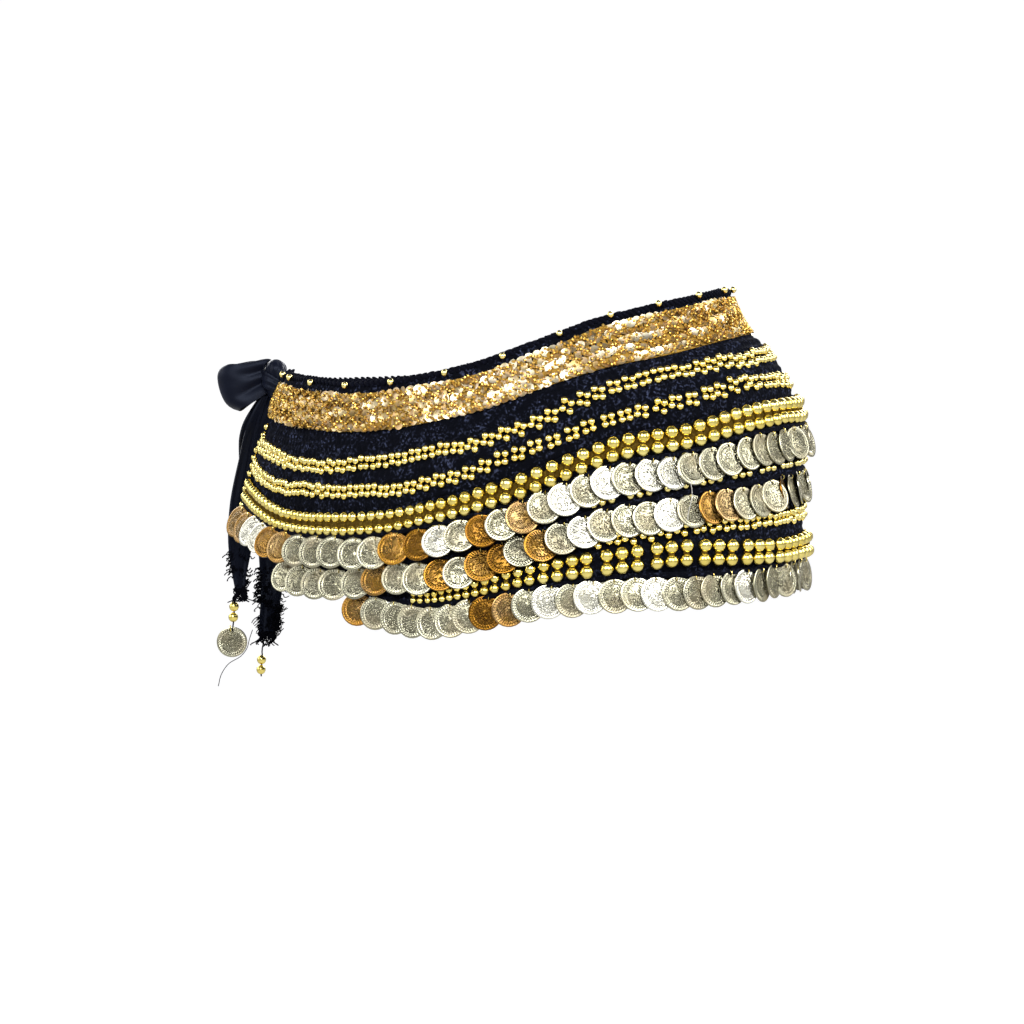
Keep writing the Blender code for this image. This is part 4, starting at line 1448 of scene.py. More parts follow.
@dataclass
class LargeBeads:
    """A band of large beads in pairs, one above the other, on a knitted strip."""

    name: str
    row: str
    first: float
    last: float
    bead: float = 7.8
    pitch: float = 8.9
    out: float = 2.9
    half_step: float = 3.8
    end_size: float = 0.80
    strip_half_height: float = 7.6
    tape_half_height: float = 3.4
    thread: float = 1.9
    grouped: bool = False

    def __post_init__(self) -> None:
        """Start the mesh."""
        self.piece = Gathered(self.name)

    def size(self, azimuth: Array) -> Array:
        """The beads' size along the band: full, or less towards its ends.

        Args:
            azimuth: degrees round the figure.

        Returns:
            Shares of the full size.
        """
        if not self.grouped:
            share = np.clip((CLOTH.from_middle(azimuth) - 92.0) / 18.0, 0.0, 1.0)
            return 1.0 - (1.0 - self.end_size) * share
        share = (CLOTH.from_middle(azimuth) - BAND_B_FULL_REACH) / (BAND_B_REACH - BAND_B_FULL_REACH)
        return 1.0 - (1.0 - BAND_B_END_SIZE) * np.clip(share, 0.0, 1.0)

    def build(self) -> None:
        """Make the strip and its beads."""
        piece = self.piece
        self._add_strip()
        lengths = [float(CLOTH.length_at(self.first))]
        while lengths[-1] < float(CLOTH.length_at(self.last)):
            size = float(self.size(CLOTH.azimuth_at(np.array([lengths[-1]])))[0])
            lengths.append(lengths[-1] + self.pitch * size)
        lengths = np.array(lengths[:-1]) + self.pitch / 2
        azimuth = CLOTH.azimuth_at(lengths[lengths < float(CLOTH.length_at(self.last)) - 3.0])
        if self.grouped:
            number = np.arange(len(azimuth))
            close = CLOTH.from_middle(azimuth) > BAND_B_FULL_REACH
            azimuth = azimuth + 0.30 * (1.0 - number % 3) * ~close
        form = ball(self.bead, *BEAD_FORM)
        size = self.size(azimuth)
        pairs = []
        step = self.half_step * (size if self.grouped else 1.0)
        for side, seed in ((-1, 1.0), (1, 2.0)):
            uneven = partial(wander, len(azimuth), seed)
            at = azimuth + uneven(0, 0.10)
            below = side * step + uneven(4, 0.30)
            height = CLOTH.row_height(at, self.row) - below
            turns = turned(CLOTH.axes(at, height), swing=uneven(5, 14.0),
                           yaw=uneven(6, 14.0)) * size[:, None, None]
            tones = 0.66 + uneven(7, 0.34)
            places = CLOTH.point(at, height, self.out * size)
            piece.stamp(form, places, turns, tones, 1)
            pairs.append(places)
        for upper, lower, share in zip(*pairs, size):
            # The low tone paints the thread between each pair dark, as shade in the gap between the
            # beads.
            tube(piece, np.linspace(upper, lower, 3), self.thread * share, 6, 0.2, 2)
        piece.build([KNIT, LARGE_GOLD, GOLD_THREAD], self.name, "beads", 70.0)

    def _add_strip(self) -> None:
        """Add the knitted strip that the beads are sewn to."""
        start, end = CLOTH.length_at(self.first) + 0.3, CLOTH.length_at(self.last) - 0.3
        azimuth = CLOTH.evenly(start, end, 8 * round((end - start) / 9) + 1)
        size = self.size(azimuth)
        shares = np.linspace(-1.0, 1.0, 9)
        heights = CLOTH.row_height(azimuth, self.row, shares[:, None] * self.strip_half_height * size)
        swell = 1.2 * (1.0 - np.abs(shares) ** 3)[:, None] * size
        relief = knit_relief(azimuth, heights, 4.6, 0.5)
        shell(self.piece, CLOTH.point(azimuth, heights, 0.5 + swell + relief),
              CLOTH.point(azimuth[::8], heights[::8, ::8], 0.2), (8, 8))
        if not self.grouped:
            self._add_tape(azimuth)

    def _add_tape(self, azimuth: Array) -> None:
        """Add the stitching between the beads: painted dark brown in shade towards the middle, where the
        beads lie close, and bright gold near the two ends.

        Args:
            azimuth: where its columns of points are.
        """
        # Painted shade: low tones towards the middle and in the relief's hollows darken the stitching.
        painted_lit_share = np.clip((CLOTH.from_middle(azimuth) - TAPE_FROM_MIDDLE) / 20.0, 0.12, 1.0)
        half = self.tape_half_height
        heights = CLOTH.row_height(azimuth, self.row, np.linspace(-half, half, 9)[:, None])
        relief = knit_relief(azimuth, heights, 2.1, 0.9)
        shell(self.piece, CLOTH.point(azimuth, heights, 2.0 + relief),
              CLOTH.point(azimuth[::8], heights[::4, ::8], 1.2), (4, 8), (0.15 + 0.9 * relief) * painted_lit_share, 2)


@dataclass(frozen=True)
class CoinLook:
    """Looks of some coins: where they are, how bright, and how they are turned."""

    azimuth: float
    # The tone paints light on the coin: low for an amber reflection, lowest for a painted shadow, highest
    # for a painted glint.
    tone: float
    yaw: float = 0.0
    swing: float = 0.0
    lift: float = 0.0


@dataclass
class CoinRow:
    """A row of overlapping coins that hang from a narrow knitted strip."""

    name: str
    row: str
    below: float
    reach: float
    strip_out: float
    foot_out: float
    rest_out: float
    seed: float
    looks: tuple[CoinLook, ...] = ()
    coin: float = 19.3
    thickness: float = 0.45
    pitch: float = 11.2
    yaw: float = 8.5
    looser: float = 0.35
    end_yaw: float = 12.0
    end_lift: float = 1.5
    strip_height: float = 3.0
    strip_thickness: float = 1.8
    root: float = 1.4
    rest: float = 2.0
    ring_size: float = 2.5
    ring_wire: float = 0.55

    def __post_init__(self) -> None:
        """Start the mesh and work out where the row starts and ends."""
        self.piece = Gathered(self.name)
        self.first = max(TIED_END + 1.0, DEEP_MIDDLE - self.reach)
        self.last = min(FAR_END - 1.0, DEEP_MIDDLE + self.reach)

    def build(self) -> None:
        """Make the strip, the coins and the rings that they hang from."""
        piece = self.piece
        self._add_strip()
        azimuth = self._azimuths()
        uneven = partial(wander, len(azimuth), self.seed)
        azimuth = azimuth + uneven(0, 0.30)
        near_end = self._near_end(azimuth)
        height = self._strip_height(azimuth, 1.0) + uneven(1, 1.0)
        # Other coins take random tones, kept below the painted glint.
        tones = np.clip(0.72 + uneven(2, 0.30), 0.0, 0.94)
        yaw = self.yaw + self.end_yaw * near_end + uneven(3, 5.0)
        swing = uneven(4, 12.0)
        lift = 0.4 + self.end_lift * near_end + uneven(6, 0.4)
        # The looks set painted light on single coins through their tones.
        for look in self.looks:
            nearest = int(np.argmin(np.abs(azimuth - look.azimuth)))
            tones[nearest] = look.tone
            yaw[nearest] += look.yaw
            swing[nearest] += look.swing
            lift[nearest] += look.lift
        root = CLOTH.point(azimuth, height, self.strip_out + self.strip_thickness / 2 + 0.4 * lift)
        foot = CLOTH.point(azimuth, height - self.coin, self._foot(azimuth, height) + lift)
        turns = turned(self._hanging(root, foot, CLOTH.axes(azimuth, height)), yaw=yaw,
                       tilt=uneven(5, 2.5), swing=swing)
        centre = root - turns[:, :, 1] * (self.coin / 2 - self.root) * MM
        piece.stamp(CoinForm(self.coin, self.thickness).template(), centre, turns, tones, 1)
        hole = self.coin / 2 * CoinForm.RINGS[CoinForm.HOLE_RING][0]
        link = centre + turns[:, :, 1] * (hole + 0.9) * MM
        piece.stamp(ring(self.ring_size, self.ring_wire), link, turns, 0.35, 2)
        piece.build([KNIT, COIN, SMALL_GOLD], self.name, "coins", 50.0)

    @staticmethod
    def _near_end(azimuth: Array) -> Array:
        """How near the scarf's ends azimuths are, from 0 to 1."""
        return np.clip((CLOTH.from_middle(azimuth) - COINS_LOOSEN_FROM) / 42.0, 0.0, 1.0)

    def _azimuths(self) -> Array:
        """Where the coins hang: further apart towards the scarf's ends.

        Returns:
            Their azimuths.
        """
        fine = CLOTH.spaced(self.first, self.last, 1.0)
        pitch = self.pitch * (1.0 + self.looser * self._near_end(fine))
        number = np.cumsum(1.0 / pitch)
        count = round(float(number[-1]))
        return np.interp((np.arange(count) + 0.5) * number[-1] / count, number, fine)

    def _foot(self, azimuth: Array, height: Array) -> Array:
        """How far out the coins' feet stand: further where they rest on the next trim.

        Args:
            azimuth: degrees round the figure.
            height: how high the coins hang, in millimetres.

        Returns:
            Millimetres out from the cloth.
        """
        under = CLOTH.row_height(azimuth, "coins_2" if self.row == "beads_a" else "coins_3")
        if self.row == "coins_2":
            band = CLOTH.row_height(azimuth, "beads_b", -BAND_HALF_HEIGHT)
            under = np.where(CLOTH.from_middle(azimuth) < BAND_B_REACH, band, under)
        overlap = under - (height - self.coin)
        share = np.clip((overlap + self.rest) / (2 * self.rest), 0.0, 1.0)
        return self.foot_out + share * (self.rest_out - self.foot_out)

    def _strip_height(self, azimuth: Array, share: Values) -> Array:
        """Heights on the strip, which stays near the smaller beads at the ends.

        Args:
            azimuth: degrees round the figure.
            share: how far down the strip, from 0 to 1.

        Returns:
            The heights, in millimetres.
        """
        nearer = 1.7 * np.clip((CLOTH.from_middle(azimuth) - COINS_LOOSEN_FROM) / 16.0, 0.0, 1.0)
        below = self.below + share * self.strip_height
        if self.row == "beads_a":
            below = below - nearer
        return CLOTH.row_height(azimuth, self.row) - below

    @staticmethod
    def _hanging(root: Array, foot: Array, axes: Array) -> Array:
        """The coins' directions before they are turned.

        Args:
            root: the points that they hang from.
            foot: the points that they reach down to.
            axes: the cloth's own directions there.

        Returns:
            A matrix for each coin, with its directions aside, up and out.
        """
        up = unit(root - foot)
        aside = unit(np.cross(up, axes[:, :, 2]))
        return np.stack((aside, up, np.cross(aside, up)), axis=-1)

    def _add_strip(self) -> None:
        """Add the narrow knitted strip."""
        start, end = CLOTH.length_at(self.first), CLOTH.length_at(self.last)
        azimuth = CLOTH.evenly(start, end, 4 * round((end - start) / 6) + 1)
        shares = np.linspace(0.0, 1.0, 5)[:, None]
        heights = self._strip_height(azimuth, shares)
        swell = self.strip_thickness * np.sqrt(1.0 - (0.85 * (2 * shares - 1)) ** 2)
        relief = knit_relief(azimuth, heights, 3.6, 0.4)
        shell(self.piece, CLOTH.point(azimuth, heights, self.strip_out + swell + relief - 0.3),
              CLOTH.point(azimuth[::4], heights[::4, ::4], self.strip_out - 0.4), (4, 4))


def level_outward(azimuth: Values, height: Values) -> Array:
    """Directions straight out from the figure, kept level."""
    return unit(CLOTH.axes(azimuth, height)[..., 2] * (1.0, 1.0, 0.0))


def figure_point(azimuth: Values, height: Values, out: Values) -> Array:
    """Points a distance out from the figure, creases left out, in metres."""
    outward = CLOTH.axes(azimuth, height)[..., 2]
    return (CLOTH.surface(azimuth, height) + np.asarray(out, float)[..., None] * outward) * MM


UP = np.array((0.0, 0.0, 1.0))


@dataclass
class Knot:
    """The tight knot of the tie, with its wrap and the ribbon that leads into it."""

    size: tuple[float, float, float] = KNOT_SIZE
    centre: Array = field(default_factory=lambda: figure_point(KNOT_AZIMUTH, KNOT_HEIGHT, KNOT_OUT))
    outward: Array = field(default_factory=lambda: level_outward(KNOT_AZIMUTH, KNOT_HEIGHT))

    def __post_init__(self) -> None:
        """Work out the direction round the figure."""
        self.around = np.cross(UP, self.outward)

    def at(self, out: Array, aside: Array, up: Array) -> Array:
        """Points at distances from the knot's centre, in millimetres, given in metres."""
        return self.centre + MM * (out[..., None] * self.outward
                                   + aside[..., None] * self.around + up[..., None] * UP)

    def lump(self, turn: Array, level: Array, grow: float, slant: float) -> Array:
        """Points on the knot's soft form.

        Args:
            turn: angles round the knot, in radians.
            level: heights from -1 at its foot to 1 at its top.
            grow: millimetres outside the plain form.
            slant: how far the folds lean.

        Returns:
            The points.
        """
        ends = np.sqrt(np.clip(1.0 - np.abs(level) ** (2 / KNOT_ROUNDNESS), 0.0, 1.0))
        pinch = 0.84 + 0.30 * level ** 2 - 0.34 * level ** 4
        fold = (1.0 + 0.055 * np.sin(3 * turn + slant * level)
                + 0.030 * np.sin(7 * turn - 1.4 * slant * level + 0.8)
                + 0.018 * np.sin(13 * turn + 2.2 * slant * level + 2.0))
        reach = ends * pinch * fold
        depth, width, height = (side / 2 for side in self.size)
        return self.at((depth * reach + grow * ends) * np.cos(turn),
                       (width * reach + grow * ends) * np.sin(turn), (height - 0.4) * level)

    def build(self) -> None:
        """Make the knot."""
        knot = Gathered("knot")
        levels = np.sin(np.linspace(-1.0, 1.0, 33) * math.pi / 2) * 0.995
        turns = once_round(64)
        points = self.lump(turns[None, :] + 0.0 * levels[:, None], levels[:, None], -0.7, 4.5)
        number = np.arange(points.size // 3).reshape(points.shape[:2])
        knot.add(points, [ring_faces(number).reshape(-1, 4), number[:1, ::-1], number[-1:]])
        self._add_wrap(knot)
        self._add_leads(knot)
        knot.build([SATIN], "knot", "ribbon", 80.0)

    def _add_wrap(self, knot: Gathered) -> None:
        """Add the band that goes round the knot, creased along its length.

        Args:
            knot: the knot's mesh.
        """
        turn = np.linspace(0.0, 2 * math.pi, 73)
        across = np.linspace(-1.0, 1.0, 15)
        turns, shares = np.meshgrid(turn, across)
        level = -0.12 + 0.30 * np.cos(turns + 0.5) - shares * (0.36 + 0.05 * np.sin(2 * turns))
        crease = 0.35 * np.cos(shares * 6.5 + 0.6 * np.sin(turns)) * (1 - shares ** 4)
        outer = self.lump(turns, level, 0.5, 1.2)
        centre = self.at(np.zeros(1), np.zeros(1), np.zeros(1))
        away = (outer - centre) * (1.0, 1.0, 0.3)
        outer = outer + unit(away) * (crease + 0.25 - 0.5 * shares ** 4)[..., None] * MM
        ribbon(knot, outer, RIBBON_THICKNESS * 0.7)

    def _add_leads(self, knot: Gathered) -> None:
        """Add the two short lengths of ribbon between the scarf's corners and the knot.

        Args:
            knot: the knot's mesh.
        """
        for azimuth, way in ((TIED_END, 1.0), (FAR_END - 360.0, -1.0)):
            share = np.linspace(0.0, 1.0, 12)
            across = np.linspace(-0.5, 0.5, 7)
            shares, sides = np.meshgrid(share, across)
            at = azimuth + way * 1.2 - way * 3.2 * shares
            level = 43.0 - 3.0 * shares - sides * (9.0 - 3.0 * shares)
            fold = 0.5 * np.cos(sides * 9.0) + 2.6 * shares
            ribbon(knot, figure_point(at, level, 0.8 + fold), RIBBON_THICKNESS)


@dataclass
class BowLoop:
    """The bow's loop: a ribbon that leaves the knot, turns and comes back to it."""

    knot: Knot
    stations: int = 72
    levels: int = 17
    from_knot: float = -0.9

    def build(self) -> None:
        """Make the loop."""
        loop = Gathered("bow_loop")
        turn = math.pi * np.linspace(-1.0, 1.0, self.stations + 1)[None, :]
        level = np.linspace(0.5, -0.5, self.levels)[:, None]
        share = 0.5 + 0.5 * np.cos(turn)
        reach = self.knot.size[0] / 2 + self.from_knot + LOOP_LENGTH * share
        side = (LOOP_HALF_WIDTH * np.sin(turn) * np.sqrt(share)
                + np.copysign(LOOP_ROOT_HALF_GAP, turn) * (1.0 - share))
        height = LOOP_ROOT_HEIGHT + (LOOP_TIP_HEIGHT - LOOP_ROOT_HEIGHT) * share
        pleat = (1.0 - share) ** 1.3
        fold = (0.9 * pleat * np.cos(level * 17.0 + 0.7 * np.sign(turn))
                + 0.8 * np.exp(-((level - 0.12 - 0.25 * (share - 0.5)) / 0.10) ** 2)
                * np.exp(-((share - 0.55) / 0.30) ** 2)
                - 0.7 * np.exp(-((level + 0.20 + 0.2 * share) / 0.09) ** 2)
                * np.exp(-((share - 0.45) / 0.35) ** 2)
                + 0.5 * np.exp(-((level + 0.36) / 0.07) ** 2) * share)
        side = side + np.sign(turn) * fold
        lift = LOOP_ROOT_RISE - LOOP_SAG * share + height * level + 0.5 * np.sin(3 * turn)
        slant = (-LOOP_SLANT * share * (LOOP_FOREMOST_LEVEL - level) ** 2
                 - 4.5 * share * np.abs(2 * level) ** 5)
        lift = lift - 1.6 * share ** 3 * np.sign(level) * np.abs(2 * level) ** 5
        out = reach + slant - 4.2 * (1.0 - share) ** 2 * (2 * level) ** 4
        middle = self.knot.at(out, side + 0.0 * level, lift)
        ribbon(loop, middle, RIBBON_THICKNESS)
        piece = loop.build([SATIN], "bow_loop", "ribbon", 80.0)


@dataclass
class Tail:
    """A tail of the tie, softly pleated, with a frayed end."""

    name: str
    table: tuple
    pleat: float
    seed: float
    worn_from: float
    frays: int = 44
    side_frays: int = 60
    stations: int = 72
    across: int = 17

    def middle_and_way(self, at: Array) -> tuple[Array, Array, Array]:
        """The tail's middle, the direction across it and its width.

        Args:
            at: stations of its table.

        Returns:
            The middles in metres, the directions and the widths in millimetres.
        """
        azimuth, height, out, width, turn = (
            SmoothCurve(self.table, TAIL_COLUMNS, name)(at) for name in TAIL_COLUMNS[1:])
        outward = level_outward(azimuth, height)
        around = np.cross(UP, outward)
        angle = np.radians(turn)[:, None]
        way = around * np.cos(angle) + outward * np.sin(angle)
        return figure_point(azimuth, height, out), way, width

    def foot(self) -> Array:
        """The point at the middle of the tail's end."""
        return self.middle_and_way(np.array([float(self.table[-1][0])]))[0][0]

    def build(self) -> None:
        """Make the tail."""
        tail = Gathered(self.name)
        last = self.table[-1][0]
        at = np.linspace(0.0, last, self.stations)
        middle, way, width = self.middle_and_way(at)
        share = (at / last)[:, None]
        side = np.linspace(-0.5, 0.5, self.across)[None, :]
        facing = unit(np.cross(np.gradient(middle, axis=0), way))
        gather = self.pleat * (1.25 - 0.75 * share)
        fold = (gather * np.cos(2 * math.pi * (1.35 * side + 0.35 * share) + self.seed)
                + 0.45 * gather * np.cos(2 * math.pi * (3.1 * side - 0.5 * share) + 2 * self.seed)
                + 0.5 * np.sin(9.0 * share + 5.0 * side + self.seed))
        sway = 0.6 * np.sin(7.0 * share + self.seed) + 0.8 * side * np.sin(11 * share)
        points = (middle[:, None, :] + MM * ((width[:, None] * side + sway)[..., None] * way[:, None, :]
                                             + fold[..., None] * facing[:, None, :]))
        ribbon(tail, points, RIBBON_THICKNESS)
        piece = tail.build([SATIN], self.name, "ribbon", 80.0)
        frays = Gathered(f"{self.name}_frays")
        self._add_frays(frays, points)
        self._add_side_frays(frays, points)
        frays.build([THREAD], "", "ribbon", 80.0)

    def _add_frays(self, frays: Gathered, points: Array) -> None:
        """Add the curly yarns at the tail's end.

        Args:
            frays: the yarns' mesh.
            points: the ribbon's middle.
        """
        end, above = points[-1], points[-3]
        ahead = unit(end.mean(axis=0) - above.mean(axis=0))
        across = unit(end[-1] - end[0])
        facing = np.cross(ahead, across)
        for number in range(self.frays):
            share = (number + 0.5) / self.frays
            start = end[0] + (end[-1] - end[0]) * share - ahead * 1.5 * MM
            length = 7.5 + 4.0 * math.sin(number * 2.1 + self.seed)
            curl = 1.7 + 0.9 * math.sin(number * 1.7)
            lean = 1.6 * (share - 0.5) + 0.5 * math.sin(number * 3.3 + self.seed)
            t = np.linspace(0.0, 1.0, 14)[:, None]
            wave = number * 1.9 + self.seed
            path = (start + MM * (length * t * (ahead + 0.30 * lean * across * t)
                                  + curl * np.sin(8.5 * t + wave) * t * across
                                  + curl * np.cos(7.5 * t + wave) * t * facing))
            tube(frays, path, 0.50 - 0.18 * t[:, 0], 5)

    def _add_side_frays(self, frays: Gathered, points: Array) -> None:
        """Add the curly fuzz of the worn part: yarns that stand off the faces and edges.

        Args:
            frays: the yarns' mesh.
            points: the ribbon's middle.
        """
        first = int(self.worn_from * (self.stations - 1))
        down = unit(points[-1].mean(axis=0) - points[first].mean(axis=0))
        length, curl, phase, place, spread = (
            wander(self.side_frays, self.seed, number, size)
            for number, size in enumerate((2.0, 0.8, math.pi, 0.5, math.pi / 2)))
        length, curl, place, spread = 3.1 + length, 1.5 + curl, 0.5 + place, np.sin(spread)
        t = np.linspace(0.0, 1.0, 11)[:, None]
        for number in range(self.side_frays):
            row = first + int((self.stations - 1 - first) * place[number] ** 0.8)
            column = round((0.5 + 0.5 * spread[number]) * (self.across - 1))
            across = unit(points[row, -1] - points[row, 0])
            facing = np.cross(down, across) * (1.0, -1.0)[number % 2]
            reach = spread[number] * across + 0.35 * down + 0.5 * facing
            path = (points[row, column]
                    + MM * (length[number] * t * reach
                            + curl[number] * np.sin(9.0 * t + phase[number]) * t * down
                            + curl[number] * np.cos(8.0 * t + phase[number]) * t * across))
            tube(frays, path, 0.42 - 0.14 * t[:, 0], 5)


@dataclass
class Charm:
    """What hangs from a tail: a string, its beads and sometimes a coin."""

    name: str
    top: Array
    drops: tuple[float, ...]
    coin_drop: float | None = None
    bead: float = 5.2
    coin: float = 18.5
    coin_azimuth: float = 38.0
    overlap: float = 2.0
    aside: float = 0.0
    string: float = 0.45
    ring_size: float = 3.6
    ring_wire: float = 0.7
    LOOSE_THREAD = ((0, 12.5, 6.0), (1, 10.6, 0.5), (2, 9.0, -5.0), (3, 5.0, -9.5),
                    (4, -2.0, -13.0), (5, -6.5, -19.0), (6, -8.4, -26.0))

    def place(self, drop: Values) -> Array:
        """Points of the string.

        Args:
            drop: millimetres below the charm's top.

        Returns:
            The points, in metres.
        """
        drop = np.asarray(drop, float)
        angle = math.radians(self.coin_azimuth)
        away = np.array((math.cos(angle), math.sin(angle), 0.0))
        share = np.clip((drop + 1.0) / 10.0, 0.0, 1.0)
        sway = self.aside * (share ** 2 * (3 - 2 * share) + 0.018 * np.maximum(drop - 9, 0))
        return self.top + MM * ((sway + 0.2 * np.sin(drop))[..., None] * away - drop[..., None] * UP)

    def build(self) -> None:
        """Make the charm."""
        charm = Gathered(self.name)
        foot = self.drops[-1] + 4.2 if self.coin_drop is None else self.coin_drop + 1.4
        tube(charm, self.place(np.linspace(-1.0, foot, 14)), self.string, 6)
        upright = np.stack((UP, (1.0, 0.0, 0.0), (0.0, 1.0, 0.0)), axis=-1)
        places = self.place(np.array(self.drops))
        charm.stamp(ball(self.bead, *BEAD_FORM), places,
                    np.repeat(upright[None], len(places), axis=0), 0.7, 1)
        if self.coin_drop is not None:
            self._add_coin(charm)
        charm.build([THREAD, LARGE_GOLD, COIN], self.name, "beads", 50.0)

    def _add_coin(self, charm: Gathered) -> None:
        """Add the coin and the ring that it hangs from.

        Args:
            charm: the charm's mesh.
        """
        angle = math.radians(self.coin_azimuth)
        facing = np.array((math.sin(angle), -math.cos(angle), 0.0))
        turn = np.stack((np.cross(UP, facing), UP, facing), axis=-1)
        turn = turned(turn[None], swing=6.0)
        below = self.coin_drop + self.coin / 2 - self.overlap
        centre = self.place(np.array([below]))
        at = np.linspace(0.0, self.LOOSE_THREAD[-1][0], 30)
        aside, up = (SmoothCurve(self.LOOSE_THREAD, ("station", "aside", "up"), name)(at)
                     for name in ("aside", "up"))
        loose = centre + MM * (aside[:, None] * turn[0, :, 0] + up[:, None] * UP - 0.9 * facing)
        tube(charm, loose, 0.25, 5)
        charm.stamp(CoinForm(self.coin, 0.5, 32).template(), centre, turn, 0.85, 2)
        hole = self.coin / 2 * CoinForm.RINGS[CoinForm.HOLE_RING][0]
        charm.stamp(ring(self.ring_size, self.ring_wire, 14, 6),
                    centre + turn[:, :, 1] * (hole + 1.1) * MM, turn, 0.5, 1)


@dataclass
class Tie:
    """The scarf's tie at the wearer's right hip."""

    def build(self) -> None:
        """Make the knot, the bow loop, the tails and what hangs from them."""
        knot = Knot()
        first = Tail("tail_1", TAIL_1, 0.9, 0.4, 0.83, side_frays=70)
        second = Tail("tail_2", TAIL_2, 1.1, 2.1, 0.76, side_frays=330)
        gap = 0.6 * MM * UP
        charms = (Charm("tail_1_charm", first.foot() - gap, (10.4, 16.8), 24.6, bead=6.0, aside=-4.0),
                  Charm("tail_2_charm", second.foot() - gap, (16.7, 22.9), bead=5.8, aside=-3.0))
        for part in (knot, BowLoop(knot), first, second, *charms):
            part.build()


@dataclass
class LooseThread:
    """An end of sewing thread that was not trimmed."""

    length: float = 20.0

    def build(self) -> None:
        """Make the thread."""
        thread = Gathered("loose_threads")
        share = np.linspace(0.0, 1.0, 24)
        path = CLOTH.point(60.5 + 0.3 * np.sin(5 * share), -16 - self.length * share,
                           10.4 + 0.5 * np.sin(4 * share))
        tube(thread, path, 0.22, 5)
        thread.build([PALE_THREAD], "", "ribbon", 180.0)


@dataclass
class Studio:
    """A round pale floor that rises to a wall all round, the lights and the camera."""

    profile: tuple[tuple[float, float], ...] = (
        (0.0, -0.55), (1.2, -0.55), (2.0, -0.53), (2.8, -0.42), (3.4, -0.12), (3.75, 0.4),
        (3.9, 1.1), (3.95, 2.4))
    target: tuple[float, float] = (-0.0059, -0.0366)
    azimuth: float = 35.0
    elevation: float = 2.0
    distance: float = 2.2
    lens: float = 131.0

    def build(self) -> None:
        """Make the studio."""
        bpy.context.scene.view_settings.view_transform = "Standard"
        self._add_floor()
        self._set_world()
        for name, azimuth, elevation, distance, size, watts in (
            ("key_light", 18.0, 27.0, 1.8, 0.85, 27.0), ("second_key", 62.0, 24.0, 1.9, 0.85, 27.0),
            ("left_fill", -52.0, 20.0, 2.0, 1.0, 12.0), ("right_fill", 118.0, 24.0, 2.0, 1.0, 22.0),
            ("back_light", 190.0, 26.0, 1.9, 0.9, 26.0), ("back_fill", 250.0, 24.0, 2.0, 1.0, 18.0)):
            self._add_light(name, azimuth, elevation, distance, size, watts)
        self._add_camera()

    def _add_floor(self) -> None:
        """Make the floor."""
        profile = np.array(self.profile)
        fine = np.linspace(0, len(profile) - 1, 41)
        keys = [(number, *row) for number, row in enumerate(self.profile)]
        columns = ("station", "radius", "height")
        radius = np.maximum(SmoothCurve(keys, columns, "radius")(fine), 0.0)
        height = SmoothCurve(keys, columns, "height")(fine)
        mesh = bmesh.new()
        sides = 96
        loops = [[mesh.verts.new((r * math.cos(2 * math.pi * n / sides),
                                  r * math.sin(2 * math.pi * n / sides), z))
                  for n in range(sides)] for r, z in zip(radius[1:], height[1:])]
        mesh.faces.new(loops[0])
        for here, there in zip(loops, loops[1:]):
            for n in range(sides):
                m = (n + 1) % sides
                mesh.faces.new((here[n], there[n], there[m], here[m]))
        data = bpy.data.meshes.new("pale_floor")
        mesh.to_mesh(data)
        mesh.free()
        data.shade_smooth()
        floor = put_in_scene("pale_floor", data)
        material = bpy.data.materials.new("pale_paper")
        material.use_nodes = True
        nodes = Nodes(material.node_tree)
        path = nodes.add("ShaderNodeLightPath").outputs
        glow = nodes.mix(path["Is Glossy Ray"], rgba((0.10, 0.10, 0.11)), rgba((0.40, 0.40, 0.38)))
        glow = nodes.mix(path["Is Camera Ray"], glow, rgba((0.88, 0.88, 0.88)))
        nodes.feed(material.node_tree.nodes["Principled BSDF"], {
            "Base Color": rgba((0.30, 0.30, 0.31)), "Roughness": 0.9,
            "Specular IOR Level": 0.1, "Emission Color": glow, "Emission Strength": 1.0})
        data.materials.append(material)

    def _set_world(self) -> None:
        """Set the soft grey light from above."""
        world = bpy.data.worlds.new("studio_air")
        world.use_nodes = True
        Nodes(world.node_tree).feed(world.node_tree.nodes["Background"], {
            "Color": rgba((0.50, 0.52, 0.56)), "Strength": 0.30})
        bpy.context.scene.world = world

    def _toward(self, azimuth: float, elevation: float) -> Array:
        """The direction from the scarf towards an azimuth and an elevation, in degrees."""
        angle, rise = math.radians(azimuth), math.radians(elevation)
        return np.array((math.sin(angle) * math.cos(rise), -math.cos(angle) * math.cos(rise),
                         math.sin(rise)))

    def _aim(self, thing: bpy.types.Object, place: Array, target: Array) -> None:
        """Put a light or the camera at a place, facing a target.

        Args:
            thing: the light or the camera.
            place: where it stands, in metres.
            target: what it faces.
        """
        back = unit(place - target)
        right = unit(np.cross(UP, back))
        up = np.cross(back, right)
        matrix = np.eye(4)
        matrix[:3, 0], matrix[:3, 1], matrix[:3, 2], matrix[:3, 3] = right, up, back, place
        thing.matrix_world = matrix.T.tolist()

    def _add_light(self, name: str, azimuth: float, elevation: float, distance: float,
                   size: float, watts: float) -> None:
        """Add a square soft light that faces the scarf.

        Args:
            name: the light's name.
            azimuth: degrees round the figure.
            elevation: degrees above the level.
            distance: how far away it stands, in metres.
            size: its sides, in metres.
            watts: how strong it is.
        """
        light = bpy.data.lights.new(name, "AREA")
        light.shape = "SQUARE"
        light.size = size
        light.energy = watts
        lamp = put_in_scene(name, light)
        target = np.array((0.0, 0.0, -0.03))
        self._aim(lamp, target + distance * self._toward(azimuth, elevation), target)

    def _add_camera(self) -> None:
        """Add the camera."""
        back = self._toward(self.azimuth, self.elevation)
        right = unit(np.cross(UP, back))
        up = np.cross(back, right)
        target = self.target[0] * right + self.target[1] * up
        data = bpy.data.cameras.new("camera")
        data.lens = self.lens
        camera = put_in_scene("camera", data)
        self._aim(camera, target + self.distance * back, target)
        bpy.context.scene.camera = camera


